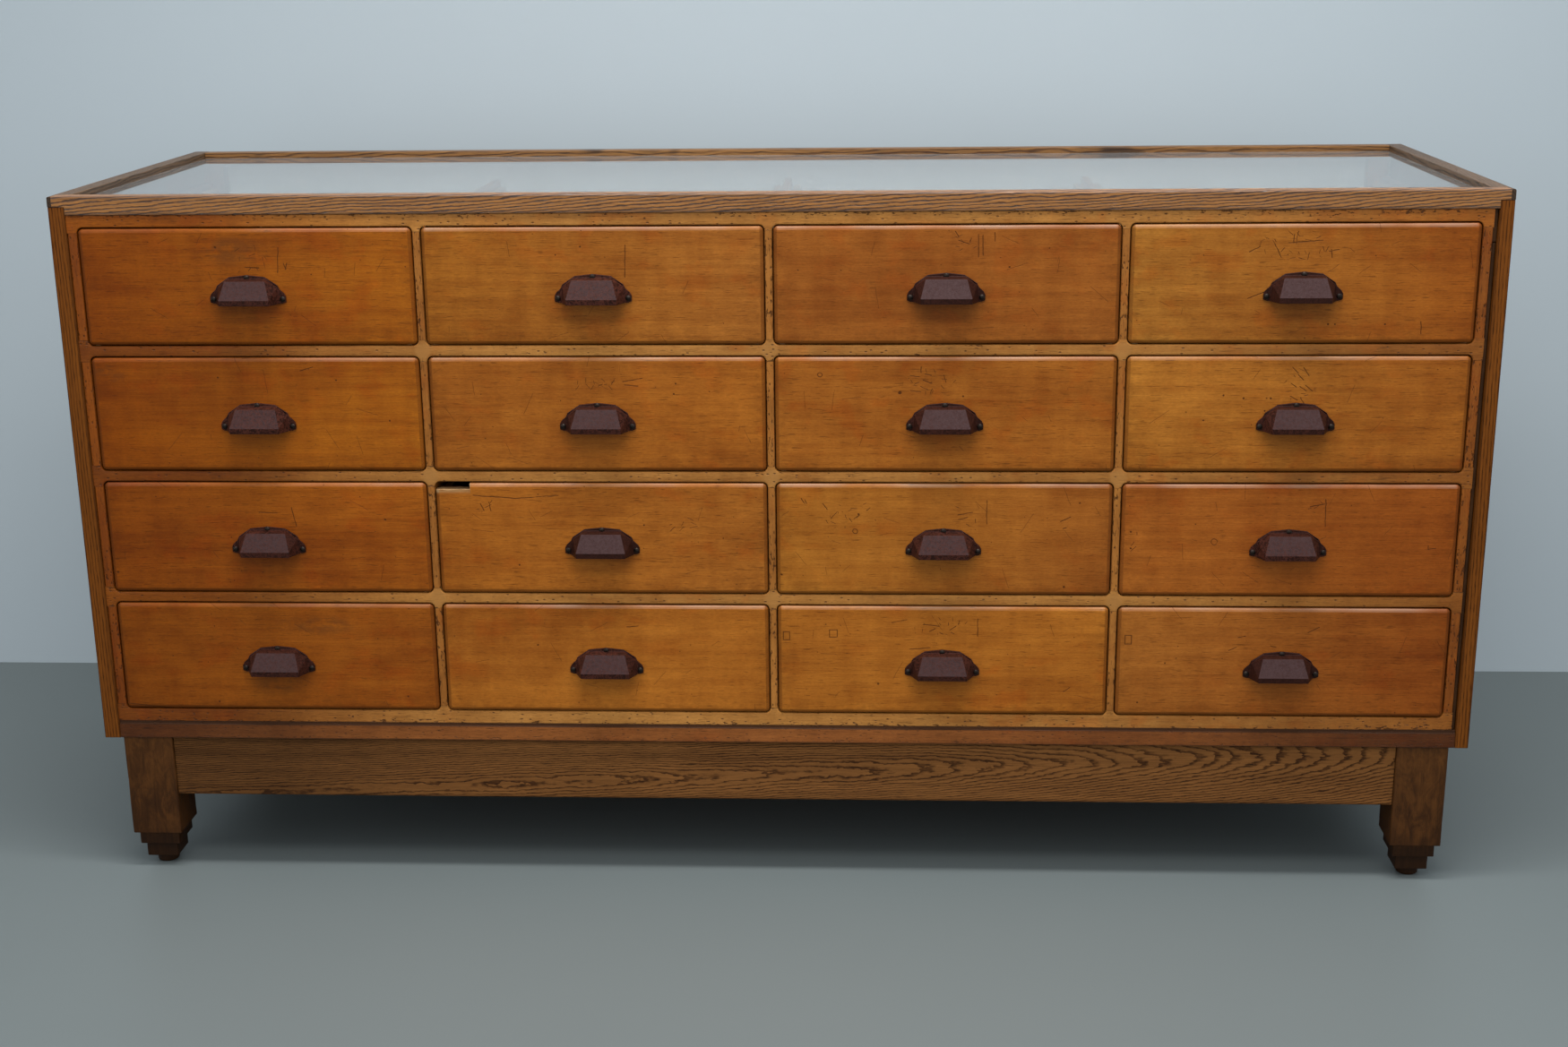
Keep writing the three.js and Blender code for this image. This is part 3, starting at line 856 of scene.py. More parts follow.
    def nearest(self, at: Wire, marks: Marks) -> Wire | None:
        """How far a point lies outside the nearest stroke, dot or ring, or None if there are none."""
        distances = []
        for x, z, length, angle in marks.strokes:
            turned = math.radians(angle)
            reach = Vector((math.cos(turned), math.sin(turned), 0.0)) * (length * MM)
            from_start = at - tuple(Vector((x, z, 0.0)) * MM - reach / 2)
            share = from_start.dot(tuple(reach / reach.length_squared)).clamped()
            distances.append((from_start - share * tuple(reach)).length() - self.stroke)
        for x, z, radius in marks.dots:
            distances.append((at - (x * MM, z * MM, 0.0)).length() - radius * MM)
        for x, z, radius in marks.rings:
            distances.append(abs((at - (x * MM, z * MM, 0.0)).length() - radius * MM) - self.ring)
        return reduce(Wire.least, distances) if distances else None

    def dashes(self, shader: Shader, at: Wire, scale: float, share: float) -> Wire:
        """Short straight scratches, at most one to a cell, each turned its own way.

        Args:
            shader: The material's shader.
            at: The point, with x and z as its first two parts.
            scale: Cells to the metre.
            share: Share of the cells that hold a scratch.

        Returns:
            Whether a point lies on a scratch, from 0 to 1.
        """
        settings = {"voronoi_dimensions": "2D"}
        middle = shader.make("ShaderNodeTexVoronoi", settings, {"Vector": at, "Scale": scale}, "Position")
        turn, reach, pick = middle.also("Color").parts()
        angle = turn * math.pi
        direction = shader.join(angle.cosine(), angle.sine(), 0.0)
        away = (at - middle) * (1.0, 1.0, 0.0)
        along = away.dot(direction)
        aside = (away - direction * along).length()
        least, more = self.dash
        past = abs(along) - reach * (more / scale) - least / scale
        return aside.most(past).ease(0.65 * MM, 0.15 * MM) * pick.ease(1 - share, 1.04 - share)


@dataclass(frozen=True)
class Stain:
    """A dark, rubbed stain over short-grained wood, paler where it has worn off.

    Attributes:
        name: The finish's name.
        light: Colour of the worn places.
        dark: Colour of the stain.
    """

    name: str
    light: Colour
    dark: Colour

    def make(self, stock: Stock, foot: float) -> bpy.types.Material:
        """Makes the material of one piece.

        Args:
            stock: The piece.
            foot: Height below which the leg is darkest.

        Returns:
            The material.
        """
        shader = Shader(self.name)
        fibres = stock.fibres(shader)
        blotch = shader.stretched(fibres, 26, 62, 4, 0.7, 0.6)
        streak = shader.stretched(fibres, 9, 240, 3, 0.6)
        thread = shader.stretched(fibres, 40, 1200, 1)
        height_up = shader.place().parts()[2]
        edge = stock.inside(shader).ease(14 * MM, 2 * MM)
        # The stain has worn off in blotches above the foot; the leg is also lighter towards its top and
        # darker below the foot.
        worn = blotch.ease(0.36, 0.7) * (1 - edge * 0.3) * height_up.ease(foot - 25 * MM, foot + 35 * MM)
        upper = height_up.ease(0.1, 0.2) * 0.3
        tone = shader.mix(self.dark, self.light, worn * 0.75 + (streak - 0.5) * 0.6 + 0.12 + upper)
        tone = tone * (thread * 0.4 + 0.8) * (height_up.ease(foot - 12 * MM, foot) * 0.4 + 0.6)
        return shader.surface({
            "Base Color": tone,
            "Roughness": (blotch - 0.5) * 0.3 + 0.5,
            "Specular IOR Level": 0.15,
            "Normal": shader.bump(blotch * 0.6 + streak * 0.3 + thread * 0.2, 0.5 * MM),
        })


@dataclass(frozen=True)
class Marbled:
    """Dark plastic with veins of a second colour.

    Attributes:
        name: The finish's name.
        body: Main colour.
        vein: Colour of the veins.
        slant_reflection: Paler colour painted on the slanted face as a reflection of the light from above.
        slant_low: How far up a face looks where the painted reflection starts, and where it is full.
        slant_high: How far up it looks where the painted reflection is gone again, and where it is still
            full.
        slant_aside: How far aside it looks where the painted reflection is gone, and where it is still full.
    """

    name: str
    body: Colour
    vein: Colour
    slant_reflection: Colour
    slant_low: Spot = (0.2, 0.34)
    slant_high: Spot = (0.75, 0.6)
    slant_aside: Spot = (0.36, 0.2)

    def make(self) -> bpy.types.Material:
        """Makes the material that all the pulls share."""
        shader = Shader(self.name)
        place = shader.place()
        swirl = shader.cloud(place, 95, 4, 0.6, 2.2)
        fine = shader.cloud(place, 700, 2, 0.6)
        dust = shader.cloud(place, 240, 3, 0.7)
        batch = shader.cloud(place * (2.2, 0.0, 5.4), 1, 1).ease(0.36, 0.64)
        vein = abs(swirl - 0.5).ease(0.09, 0.0)
        tone = shader.mix(self.body, self.vein, vein * (batch * 0.7 + 0.25))
        # The slanted face is told from the others by the way it faces, and is painted paler as a reflection
        # of the light from above.
        aside, _, upward = shader.make("ShaderNodeTexCoord", {}, {}, "Normal").parts()
        slanted = upward.ease(*self.slant_low) * upward.ease(*self.slant_high)
        slanted = slanted * abs(aside).ease(*self.slant_aside)
        share = (dust.ease(0.3, 0.6) * 0.3 + 0.62) - batch * 0.28 - vein * 0.2
        tone = shader.mix(tone, self.slant_reflection, slanted * share)
        tone = tone * (fine * 0.7 + 0.65)
        return shader.surface({
            "Base Color": tone,
            "Roughness": (dust - 0.5) * 0.3 + 0.38,
            "Specular IOR Level": 0.08,
            "Normal": shader.bump(dust * 0.6 + fine * 0.2, 0.12 * MM),
        })


@dataclass(frozen=True)
class Metal:
    """Dark, tarnished metal.

    Attributes:
        name: The finish's name.
        tone: Its colour.
        rust: Colour of the tarnish.
    """

    name: str
    tone: Colour
    rust: Colour

    def make(self) -> bpy.types.Material:
        """Makes the material that all the screws share."""
        shader = Shader(self.name)
        spots = shader.cloud(shader.place(), 900, 3, 0.7)
        worn = spots.ease(0.42, 0.62)
        return shader.surface({
            "Base Color": shader.mix(self.tone, self.rust, worn),
            "Metallic": 1 - worn * 0.6,
            "Roughness": worn * 0.3 + 0.35,
            "Normal": shader.bump(spots, 0.08 * MM),
        })


@dataclass(frozen=True)
class Lining:
    """Pale paint or paper, yellowed and scuffed.

    Attributes:
        name: The finish's name.
        pale: Its colour.
        stain: Colour of its stains.
        bare: Colour of the board's bare rear face.
    """

    name: str
    pale: Colour
    stain: Colour
    bare: Colour

    def make(self, stock: Stock) -> bpy.types.Material:
        """Makes the material of a board that is lined on the side that faces the drawers."""
        shader = Shader(self.name)
        place = shader.place()
        cloud = shader.cloud(place, 5, 4, 0.6)
        tooth = shader.cloud(place, 420, 2, 0.6)
        tone = shader.mix(self.pale, self.stain, cloud.ease(0.5, 0.8) * 0.7) * (tooth * 0.16 + 0.92)
        streak = shader.stretched(stock.fibres(shader), 3, 90, 4, 0.6)
        bare = self.bare * (shader.join(*WHITE) * (streak * 1.1 + cloud * 0.4 + 0.25))
        tone = shader.mix(tone, bare, stock.local(shader).parts()[1].ease(-1 * MM, MM))
        return shader.surface({
            "Base Color": tone,
            "Roughness": (tooth - 0.5) * 0.1 + 0.75,
            "Normal": shader.bump(tooth, 0.1 * MM),
        })


@dataclass(frozen=True)
class Glass:
    """Clear, faintly green glass with fingermarks and a film of dust.

    Attributes:
        name: The finish's name.
        tint: Its colour.
        dust: How much the dust shows at a flat angle.
    """

    name: str
    tint: Colour
    dust: float = 0.22

    def make(self) -> bpy.types.Material:
        """Makes the material."""
        shader = Shader(self.name)
        marks = shader.cloud(shader.place(), 9, 5, 0.65, 0.8)
        return shader.surface({
            "Base Color": self.tint,
            "Roughness": marks.ease(0.5, 0.8) * 0.035 + 0.006,
            "IOR": 1.5,
            "Transmission Weight": 0.98,
            "Sheen Weight": self.dust,
            "Sheen Roughness": 0.35,
        })


class Shape:
    """A bmesh that is shaped by operators and ends as one named piece."""

    def __init__(self) -> None:
        """Starts with nothing in it."""
        self.mesh = bmesh.new()

    def block(self, low: Vector, high: Vector) -> list[BMVert]:
        """Adds a block between two corners.

        Args:
            low: Lowest corner.
            high: Highest corner.

        Returns:
            Its vertices.
        """
        size = Matrix.Diagonal((*(high - low), 1.0))
        place = Matrix.Translation((low + high) / 2) @ size
        return bmesh.ops.create_cube(self.mesh, size=1.0, matrix=place)["verts"]

    def edges(self, test: EdgeTest, among: Iterable[BMVert] | None = None) -> list[BMEdge]:
        """The edges whose two ends pass a test.

        Args:
            test: Says yes or no to an edge's ends.
            among: Only edges at these vertices, or all if it is left out.

        Returns:
            The edges.
        """
        if among is None:
            found = self.mesh.edges
        else:
            found = {edge for vert in among for edge in vert.link_edges}
            found = sorted(found, key=lambda edge: tuple(edge.verts[0].co) + tuple(edge.verts[1].co))
        return [edge for edge in found if test(edge.verts[0].co, edge.verts[1].co)]

    def bevel(self, edges: list[BMEdge], radius: float, segments: int = 2) -> None:
        """Rounds edges."""
        bmesh.ops.bevel(
            self.mesh, geom=edges, offset=radius, offset_type="OFFSET", segments=segments, profile=0.5,
            affect="EDGES", clamp_overlap=False, material=-1,
        )

    @classmethod
    def of(cls, node: str, radius: float, keep: EdgeTest | None = None) -> "Shape":
        """A construction node's solid, its flat faces made whole and its sharp edges rounded.

        Args:
            node: The construction node.
            radius: Radius of the rounding.
            keep: Says yes to the edges that are rounded, or all of them if it is left out.

        Returns:
            The shape.
        """
        shape = cls()
        mesh = shape.mesh
        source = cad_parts[node]
        mesh.from_mesh(source.data)
        mesh.transform(source.matrix_world)
        bmesh.ops.remove_doubles(mesh, verts=mesh.verts, dist=WELD)
        bmesh.ops.dissolve_limit(
            mesh, angle_limit=FLAT, use_dissolve_boundaries=False, verts=mesh.verts, edges=mesh.edges,
            delimit={"NORMAL"},
        )
        sharp = []
        for edge in mesh.edges:
            is_kept = keep is None or keep(edge.verts[0].co, edge.verts[1].co)
            if edge.is_manifold and edge.calc_face_angle(0.0) > SHARP and is_kept:
                sharp.append(edge)
        shape.bevel(sharp, radius)
        return shape

    def add(self, other: "Shape") -> None:
        """Takes in another shape, which ends with that.

        Args:
            other: The shape, which can't be used afterwards.
        """
        scratch = bpy.data.meshes.new("joined")
        other.mesh.to_mesh(scratch)
        other.mesh.free()
        self.mesh.from_mesh(scratch)
        bpy.data.meshes.remove(scratch)

    def cut(self, place: Iterable[float], normal: Iterable[float], clear: bool = False) -> None:
        """Cuts the shape along a plane and, if asked to, clears what lies behind it."""
        everything = [*self.mesh.verts, *self.mesh.edges, *self.mesh.faces]
        bmesh.ops.bisect_plane(
            self.mesh, geom=everything, dist=1e-6, plane_co=place, plane_no=normal, clear_inner=clear,
        )

    def slice(self, axis: int, step: float) -> None:
        """Cuts the shape across into short lengths, which can bend one by one.

        Args:
            axis: The axis that the cuts lie across.
            step: Length of the pieces, about.
        """
        along = [vert.co[axis] for vert in self.mesh.verts]
        low, high = min(along), max(along)
        count = max(1, round((high - low) / step))
        normal = Vector([1.0 if index == axis else 0.0 for index in range(3)])
        for number in range(1, count):
            self.cut(normal * (low + (high - low) * number / count), normal)

    def wear(
        self, amount: float, axis: int, step: float, seed: float,
        skip: Callable[[Vector], bool] | None = None,
    ) -> None:
        """Wears the arrises unevenly, which makes their highlights wander.

        Args:
            amount: The most that an arris loses.
            axis: The axis that the arrises follow.
            step: Length of the pieces that the wear bends.
            seed: Sets the wear apart from that of other pieces.
            skip: Says yes to places that stay as they are.
        """
        self.slice(axis, step)
        moves = {}
        for vert in self.mesh.verts:
            normals = [face.normal for face in vert.link_faces]
            is_flat = all(normals[0].dot(normal) > math.cos(KINK) for normal in normals)
            if is_flat or (skip and skip(vert.co)):
                continue
            inwards = -vert.normal
            inwards[axis] = 0.0
            at = vert.co * 22.0 + Vector((seed, seed * 2.0, 0.0))
            rough = noise.noise(at) * 0.7 + noise.noise(at * 4.3) * 0.5
            moves[vert] = inwards * (max(0.0, rough + 0.15) * amount)
        for vert, move in moves.items():
            vert.co += move

    def finish(self, name: str, material: bpy.types.Material, smooth: float = 38.0) -> bpy.types.Object:
        """Turns the shape into an object.

        Args:
            name: The piece's name.
            material: Its material.
            smooth: Edges that bend by less than this many degrees are shaded smooth.

        Returns:
            The object.
        """
        wide = [face for face in self.mesh.faces if len(face.verts) > 4]
        bmesh.ops.triangulate(self.mesh, faces=wide)
        bmesh.ops.recalc_face_normals(self.mesh, faces=self.mesh.faces)
        for face in self.mesh.faces:
            face.smooth = True
        for edge in self.mesh.edges:
            edge.smooth = edge.calc_face_angle(0.0) < math.radians(smooth)
        data = bpy.data.meshes.new(name)
        self.mesh.to_mesh(data)
        self.mesh.free()
        data.materials.append(material)
        piece = bpy.data.objects.new(name, data)
        bpy.context.scene.collection.objects.link(piece)
        weighted = piece.modifiers.new("Weighted normals", "WEIGHTED_NORMAL")
        weighted.keep_sharp = True
        return piece


def seat(piece: bpy.types.Object, body: str, slot: str, *nodes: str) -> bpy.types.Object:
    """Makes a piece ride on a body, hides the construction nodes that it stands for, and reports it.

    Args:
        piece: The piece.
        body: The body that carries it.
        slot: Not used.
        nodes: The construction nodes that it stands for.

    Returns:
        The piece.
    """
    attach(piece, body)
    if nodes:
        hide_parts(*nodes)
    log.info("%s: %d faces on %s", piece.name, len(piece.data.polygons), body)
    return piece


@dataclass(frozen=True)
class Worn:
    """How the arrises of a board or leg are rounded and worn.

    Attributes:
        arris: Rounding of the arrises.
        loss: The most that they lose to wear.
        step: Length of the pieces that the wear bends.
    """

    arris: float
    loss: float
    step: float


def lay_stock(
    kind: str, slot: str, stock: Stock, material: bpy.types.Material, worn: Worn, seed: float,
) -> None:
    """Makes the board or leg that a whole construction node stands for.

    Args:
        kind: The first word of the piece's name, before its construction node's.
        slot: Passed on to seat, which does not use it.
        stock: The board or leg.
        material: The finish.
        worn: How its arrises are worn.
        seed: Sets its wear apart from that of others.
    """
    shape = Shape.of(stock.node, worn.arris)
    if worn.loss:
        shape.wear(worn.loss, stock.grain.along, worn.step, seed)
    seat(shape.finish(f"{kind}_{stock.node}", material), "case", slot, stock.node)


OAK_TOP = Oak(
    "oak_top", (0.35, 0.138, 0.026), (0.070, 0.022, 0.005), (0.022, 0.009, 0.004),
    roughness=0.34, gloss=0.6, contrast=1.6,
)
OAK_TOP_SIDES = Oak("oak_top_sides", (0.16, 0.088, 0.042), (0.05, 0.026, 0.013), (0.02, 0.010, 0.005))
OAK_TOP_BACK = Oak(
    "oak_top_back", (0.27, 0.125, 0.036), (0.08, 0.031, 0.010), (0.02, 0.010, 0.005), stained=0.75,
)
OAK_SIDE = Oak(
    "oak_side", (0.215, 0.064, 0.008), (0.085, 0.023, 0.003), (0.03, 0.009, 0.002),
    gloss=0.08, dirt_width=3 * MM, contrast=0.65,
)
DARK_OAK = Oak(
    "dark_oak", (0.230, 0.092, 0.025), (0.050, 0.017, 0.005), (0.02, 0.008, 0.003),
    roughness=0.5, gloss=0.08, dirt_width=7 * MM, dirt_share=0.3, contrast=1.1,
)
FRAME_BEECH = Beech(
    "beech_frame", (0.54, 0.235, 0.052), (0.29, 0.105, 0.018), (0.055, 0.016, 0.002), dent=1.0,
)
STILE_BEECH = replace(FRAME_BEECH, light=(0.47, 0.182, 0.034), dark=(0.25, 0.080, 0.011))
INNER_BEECH = Beech(
    "inner_beech", (0.42, 0.26, 0.13), (0.28, 0.15, 0.065), (0.09, 0.05, 0.025), roughness=0.6,
)
RED_BROWN = Beech(
    "red_brown_board", (0.34, 0.108, 0.023), (0.175, 0.05, 0.010), (0.035, 0.012, 0.003),
    dent=0.6, grime_and_shade=0.7, grime_and_shade_width=2.4 * MM, shade_strip=4.6 * MM, ends=(0.33, 0.3, 0.33),
)
DRAWER_BEECH = Beech(
    "beech_drawer", (0.41, 0.137, 0.015), (0.23, 0.062, 0.005), (0.075, 0.019, 0.0015), gloss=0.12,
)
RAW_WOOD = (0.42, 0.26, 0.12)
# Pale colour of worn wax, also the painted highlight on the drawers' upper edges.
WORN_WAX_AND_HIGHLIGHT = (0.50, 0.37, 0.26)
# Colour of the painted shadow below each pull, and of the drawers' stains.
PULL_SHADOW_AND_DIRT = (0.10, 0.034, 0.008)
LEG_STAIN = Stain("stained_leg", (0.105, 0.037, 0.007), (0.030, 0.010, 0.002))
DARK_STRIP = Stain("dark_strip", (0.075, 0.030, 0.009), (0.018, 0.007, 0.003))
PLASTIC = Marbled("marbled_plastic", (0.022, 0.0072, 0.0048), (0.075, 0.022, 0.014), (0.068, 0.037, 0.036))
SCREW_METAL = Metal("screw_metal", tone=(0.034, 0.024, 0.018), rust=(0.014, 0.008, 0.006))
PALE_LINING = Lining("back_lining", (0.92, 0.97, 0.93), (0.70, 0.70, 0.62), bare=(0.24, 0.12, 0.05))
PANE_GLASS = Glass("glass", tint=(0.97, 0.99, 0.985))


@dataclass
class TopFrame:
    """The glazed oak frame on top of the case.

    Attributes:
        worn: How the rails' arrises are worn.
        glass_arris: Rounding of the pane's edges.
        glass_corner: Rounding of the pane's corners.
    """

    worn: Worn = Worn(0.7 * MM, 0.5 * MM, 45 * MM)
    glass_arris: float = 0.5 * MM
    glass_corner: float = 3 * MM

    def rail(self, place: str, oak: Oak, grain: Grain, cut: Log, seed: float) -> None:
        """Makes one rail of the oak that is given."""
        stock = Stock.of(f"top_rail_{place}", grain, seed)
        lay_stock("oak", "oak_top", stock, oak.make(stock, cut), self.worn, seed)

    def pane(self) -> None:
        """Makes the glass pane with ground edges."""
        low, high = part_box("glass_top")
        shape = Shape()
        shape.block(low, high)
        shape.bevel(shape.edges(lambda a, b: abs(a.z - b.z) > MM), self.glass_corner, 4)
        shape.bevel(shape.edges(lambda a, b: abs(a.z - b.z) < TOUCH), self.glass_arris)
        seat(shape.finish("glass_pane", PANE_GLASS.make()), "case", "glass", "glass_top")

    def build(self) -> None:
        """Makes the four rails and the pane."""
        front = Log(pith=(0.035, 0.11), slope=(0.02, 0.07), ring=4.2 * MM, waver=5.5 * MM, fray=2.8 * MM)
        self.rail("front", OAK_TOP, Grain.ALONG_X, front, 1.0)
        self.rail("back", OAK_TOP_BACK, Grain.ALONG_X, Log(pith=(0.05, 0.05), waver=7 * MM), 2.0)
        self.rail("left", OAK_TOP_SIDES, Grain.ALONG_Y, Log(pith=(0.05, 0.05)), 3.0)
        self.rail("right", OAK_TOP_SIDES, Grain.ALONG_Y, Log(pith=(0.06, 0.04)), 4.0)
        self.pane()


@dataclass
class OakCase:
    """The case: side panels, back, bottom board and the strip beside the face frame.

    Attributes:
        worn: How the side panels' arrises are worn.
        bottom_loss: The most that the bottom board's arrises lose.
        strip_loss: The most that the strip's arrises lose.
        plank: Width of the planks that a side panel is glued from.
    """

    worn: Worn = Worn(0.8 * MM, 0.5 * MM, 50 * MM)
    bottom_loss: float = 0.4 * MM
    strip_loss: float = 0.2 * MM
    plank: float = 0.148

    def board(self, slot: str, stock: Stock, material: bpy.types.Material, loss: float) -> None:
        """Makes one board of the case, whose arrises lose what is given at most."""
        lay_stock("case", slot, stock, material, replace(self.worn, loss=loss), len(stock.node))

    def build(self) -> None:
        """Makes the boards."""
        panel = Log(waver=0.9 * MM, planks=self.plank)
        left = replace(panel, pith=(0.02, 0.085), slope=(0.006, 0.003), ring=2.0 * MM)
        right = replace(panel, pith=(0.01, 0.090), slope=(0.008, 0.002), ring=2.1 * MM)
        for side, cut, seed in (("left", left, 11.0), ("right", right, 12.0)):
            stock = Stock.of(f"side_panel_{side}", Grain.ALONG_Z, seed)
            self.board("oak_side", stock, OAK_SIDE.make(stock, cut), self.worn.loss)
        back = Stock.of("back_panel", Grain.ALONG_X, 15.0)
        self.board("back_lining", back, PALE_LINING.make(back), 0.0)
        bottom = Stock.of("bottom_board", Grain.ALONG_X, 13.0)
        self.board("red_brown_board", bottom, RED_BROWN.make(bottom), self.bottom_loss)
        strip = Stock.of("filler_strip", Grain.ALONG_Z, 14.0)
        self.board("dark_strip", strip, DARK_STRIP.make(strip, 0.0), self.strip_loss)


@dataclass
class FaceFrame:
    """The beech frame round the drawers, with the partitions that carry its stiles.

    Attributes:
        arris: Rounding of the edges round the openings.
        loss: The most that those edges lose to wear.
        step: Length of the pieces that the wear bends.
        worn_depth: How far behind the front the wear reaches.
        partitions: The partitions, from left to right.
        pale: Colour of the joints.
        top_amber: What the top rail's colour is multiplied by towards its ends.
        stile_amber: What the outer stiles' colour is multiplied by.
    """

    arris: float = 2.2 * MM
    loss: float = 0.6 * MM
    step: float = 40 * MM
    worn_depth: float = 3 * MM
    partitions: tuple[str, ...] = ("left", "1", "2", "3", "right")
    pale: Colour = (0.43, 0.195, 0.05)
    top_amber: Colour = (0.72, 0.44, 0.10)
    stile_amber: Colour = (0.60, 0.38, 0.13)

    def crossings(self) -> Crossings:
        """Where the stiles and rails cross.

        Returns:
            The crossings, with the colour of the joints.
        """
        stiles = []
        for column in range(1, COLUMNS):
            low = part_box(f"drawer_1_{column}")[1].x
            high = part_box(f"drawer_1_{column + 1}")[0].x
            stiles.append((low + high) / 2)
        rails = []
        for row in range(1, ROWS):
            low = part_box(f"drawer_{row + 1}_1")[1].z
            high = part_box(f"drawer_{row}_1")[0].z
            rails.append((low + high) / 2)
        return Crossings(tuple(stiles), tuple(rails), self.pale)

    def build(self) -> None:
        """Makes the rails and the partitions."""
        crossings = self.crossings()
        top_crossings = replace(crossings, amber=self.top_amber)
        stile_crossings = replace(crossings, amber=self.stile_amber)
        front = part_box("face_rail_1")[0].y
        for number in range(1, ROWS + 2):
            stock = Stock.of(f"face_rail_{number}", Grain.ALONG_X, 20.0 + number)
            ends = stock.low.z, stock.high.z
            shape = Shape.of(stock.node, self.arris, lambda a, b: self.is_opening_edge(a, b, front, ends))
            shape.wear(self.loss, 0, self.step, number * 5.0, lambda co: co.y > front + self.worn_depth)
            material = FRAME_BEECH.make(stock, top_crossings if number == 1 else crossings)
            seat(shape.finish(f"frame_rail_{number}", material), "case", "beech_frame", stock.node)
        for number, place in enumerate(self.partitions):
            node = f"partition_{place}"
            low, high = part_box(node)
            left, right = self.stile(node, front)
            shape = Shape.of(node, self.arris, lambda a, b: self.is_stile_edge(a, b, front))
            corners = Vector((left, low.y, low.z)), Vector((right, high.y, high.z))
            material = STILE_BEECH.make(Stock(*corners, Grain.ALONG_Z, 30.0 + number), stile_crossings)
            seat(shape.finish(f"frame_{node}", material), "case", "beech_frame", node)

    def stile(self, node: str, front: float) -> Spot:
        """Left and right of a partition's front edge."""
        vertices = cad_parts[node].data.vertices
        across = [vert.co.x for vert in vertices if vert.co.y < front + NEAR]
        return min(across), max(across)

    def is_opening_edge(self, a: Vector, b: Vector, front: float, ends: Spot) -> bool:
        """Whether an edge of a rail lies on its front and borders an opening, not a joint.

        Args:
            a: One end of the edge.
            b: The other end.
            front: Where the rail's front lies.
            ends: The rail's lower and upper side, where the stiles join it.

        Returns:
            Whether it does.
        """
        on_front = max(a.y, b.y) < front + NEAR
        on_joint = abs(a.z - b.z) < TOUCH and min(abs(a.z - end) for end in ends) < TOUCH
        return on_front and not on_joint and abs(a.x - b.x) > TOUCH

    def is_stile_edge(self, a: Vector, b: Vector, front: float) -> bool:
        """Whether an edge of a partition is a long arris of its front edge."""
        return max(a.y, b.y) < front + NEAR and abs(a.z - b.z) > 10 * MM


@dataclass
class CupPull:
    """A faceted cup pull of marbled plastic, held by three round-head screws.

    Attributes:
        arris: Rounding of the facets' edges.
        head_radius: Radius of a screw's head.
        head_height: Height of a screw's head.
        slot_width: Width of the driver's slot.
        slot_depth: Depth of the driver's slot.
        slot_from: Share of the head's height above which the slot is cut.
        facets: Facets round a sphere of which the head is a half, and from pole to pole.
        wall: Thickness of the flange under the heads.
        top_share: Height of the upper screw, as a share of the pull's height.
        ear_share: Height of the ears' screws, as a share of the pull's height.
        ear_reach_share: Distance of the ears' screws from the middle, as a share of half the width.
        smooth: Facets that meet at less than this many degrees are shaded smooth.
    """

    arris: float = 0.45 * MM
    head_radius: float = 4.0 * MM
    head_height: float = 2.4 * MM
    slot_width: float = 0.8 * MM
    slot_depth: float = 0.9 * MM
    slot_from: float = 0.3
    facets: tuple[int, int] = (16, 12)
    wall: float = 2.6 * MM
    top_share: float = 0.905
    ear_share: float = 0.16
    ear_reach_share: float = 0.915
    smooth: float = 14.0

    def head(self, place: Vector, turn: float) -> Shape:
        """One round screw head with a slot.

        Args:
            place: Middle of its seat.
            turn: Angle of the slot in degrees.

        Returns:
            The head's shape.
        """
        dome = Shape()
        mesh = dome.mesh
        around, over = self.facets
        bmesh.ops.create_uvsphere(mesh, u_segments=around, v_segments=over, radius=1.0)
        dome.cut((0, 0, 0), (0, 0, 1), clear=True)
        bmesh.ops.holes_fill(mesh, edges=[edge for edge in mesh.edges if edge.is_boundary])
        half_slot = self.slot_width / 2 / self.head_radius
        for side in (-1, 1):
            dome.cut((side * half_slot, 0, 0), (1, 0, 0))
        strip = []
        for face in mesh.faces:
            centre = face.calc_center_median()
            if abs(centre.x) < half_slot and centre.z > self.slot_from:
                strip.append(face)
        sunk = bmesh.ops.extrude_face_region(mesh, geom=strip)["geom"]
        bmesh.ops.delete(mesh, geom=strip, context="FACES")
        sunk_verts = [item for item in sunk if isinstance(item, BMVert)]
        bmesh.ops.translate(mesh, verts=sunk_verts, vec=(0, 0, -self.slot_depth / self.head_height))
        size = Matrix.Diagonal((self.head_radius, self.head_radius, self.head_height, 1.0))
        facing = Matrix.Rotation(math.radians(90), 4, "X") @ Matrix.Rotation(math.radians(turn), 4, "Z")
        mesh.transform(Matrix.Translation(place) @ facing @ size)
        return dome

    def build(self, row: int, column: int, plastic: bpy.types.Material, metal: bpy.types.Material) -> None:
        """Makes one pull and its screws.

        Args:
            row: The drawer's row, counted from the top.
            column: The drawer's column, counted from the left.
            plastic: The pull's finish.
            metal: The screws' finish.
        """
        node = f"pull_{row}_{column}"
        body = f"drawer_body_{row}_{column}"
        low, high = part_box(node)
        cup = Shape.of(node, self.arris)
        seat(cup.finish(f"cup_{node}", plastic, self.smooth), body, "marbled_plastic", node)
        middle = (low.x + high.x) / 2
        reach = (high.x - low.x) / 2 * self.ear_reach_share
        top = low.z + (high.z - low.z) * self.top_share
        ear = low.z + (high.z - low.z) * self.ear_share
        heads = Shape()
        places = ((middle, top), (middle - reach, ear), (middle + reach, ear))
        for number, (x, z) in enumerate(places):
            turn = (row * 71 + column * 43 + number * 57) % 180
            heads.add(self.head(Vector((x, high.y - self.wall, z)), turn))
        seat(heads.finish(f"screws_{row}_{column}", metal), body, "marbled_plastic")


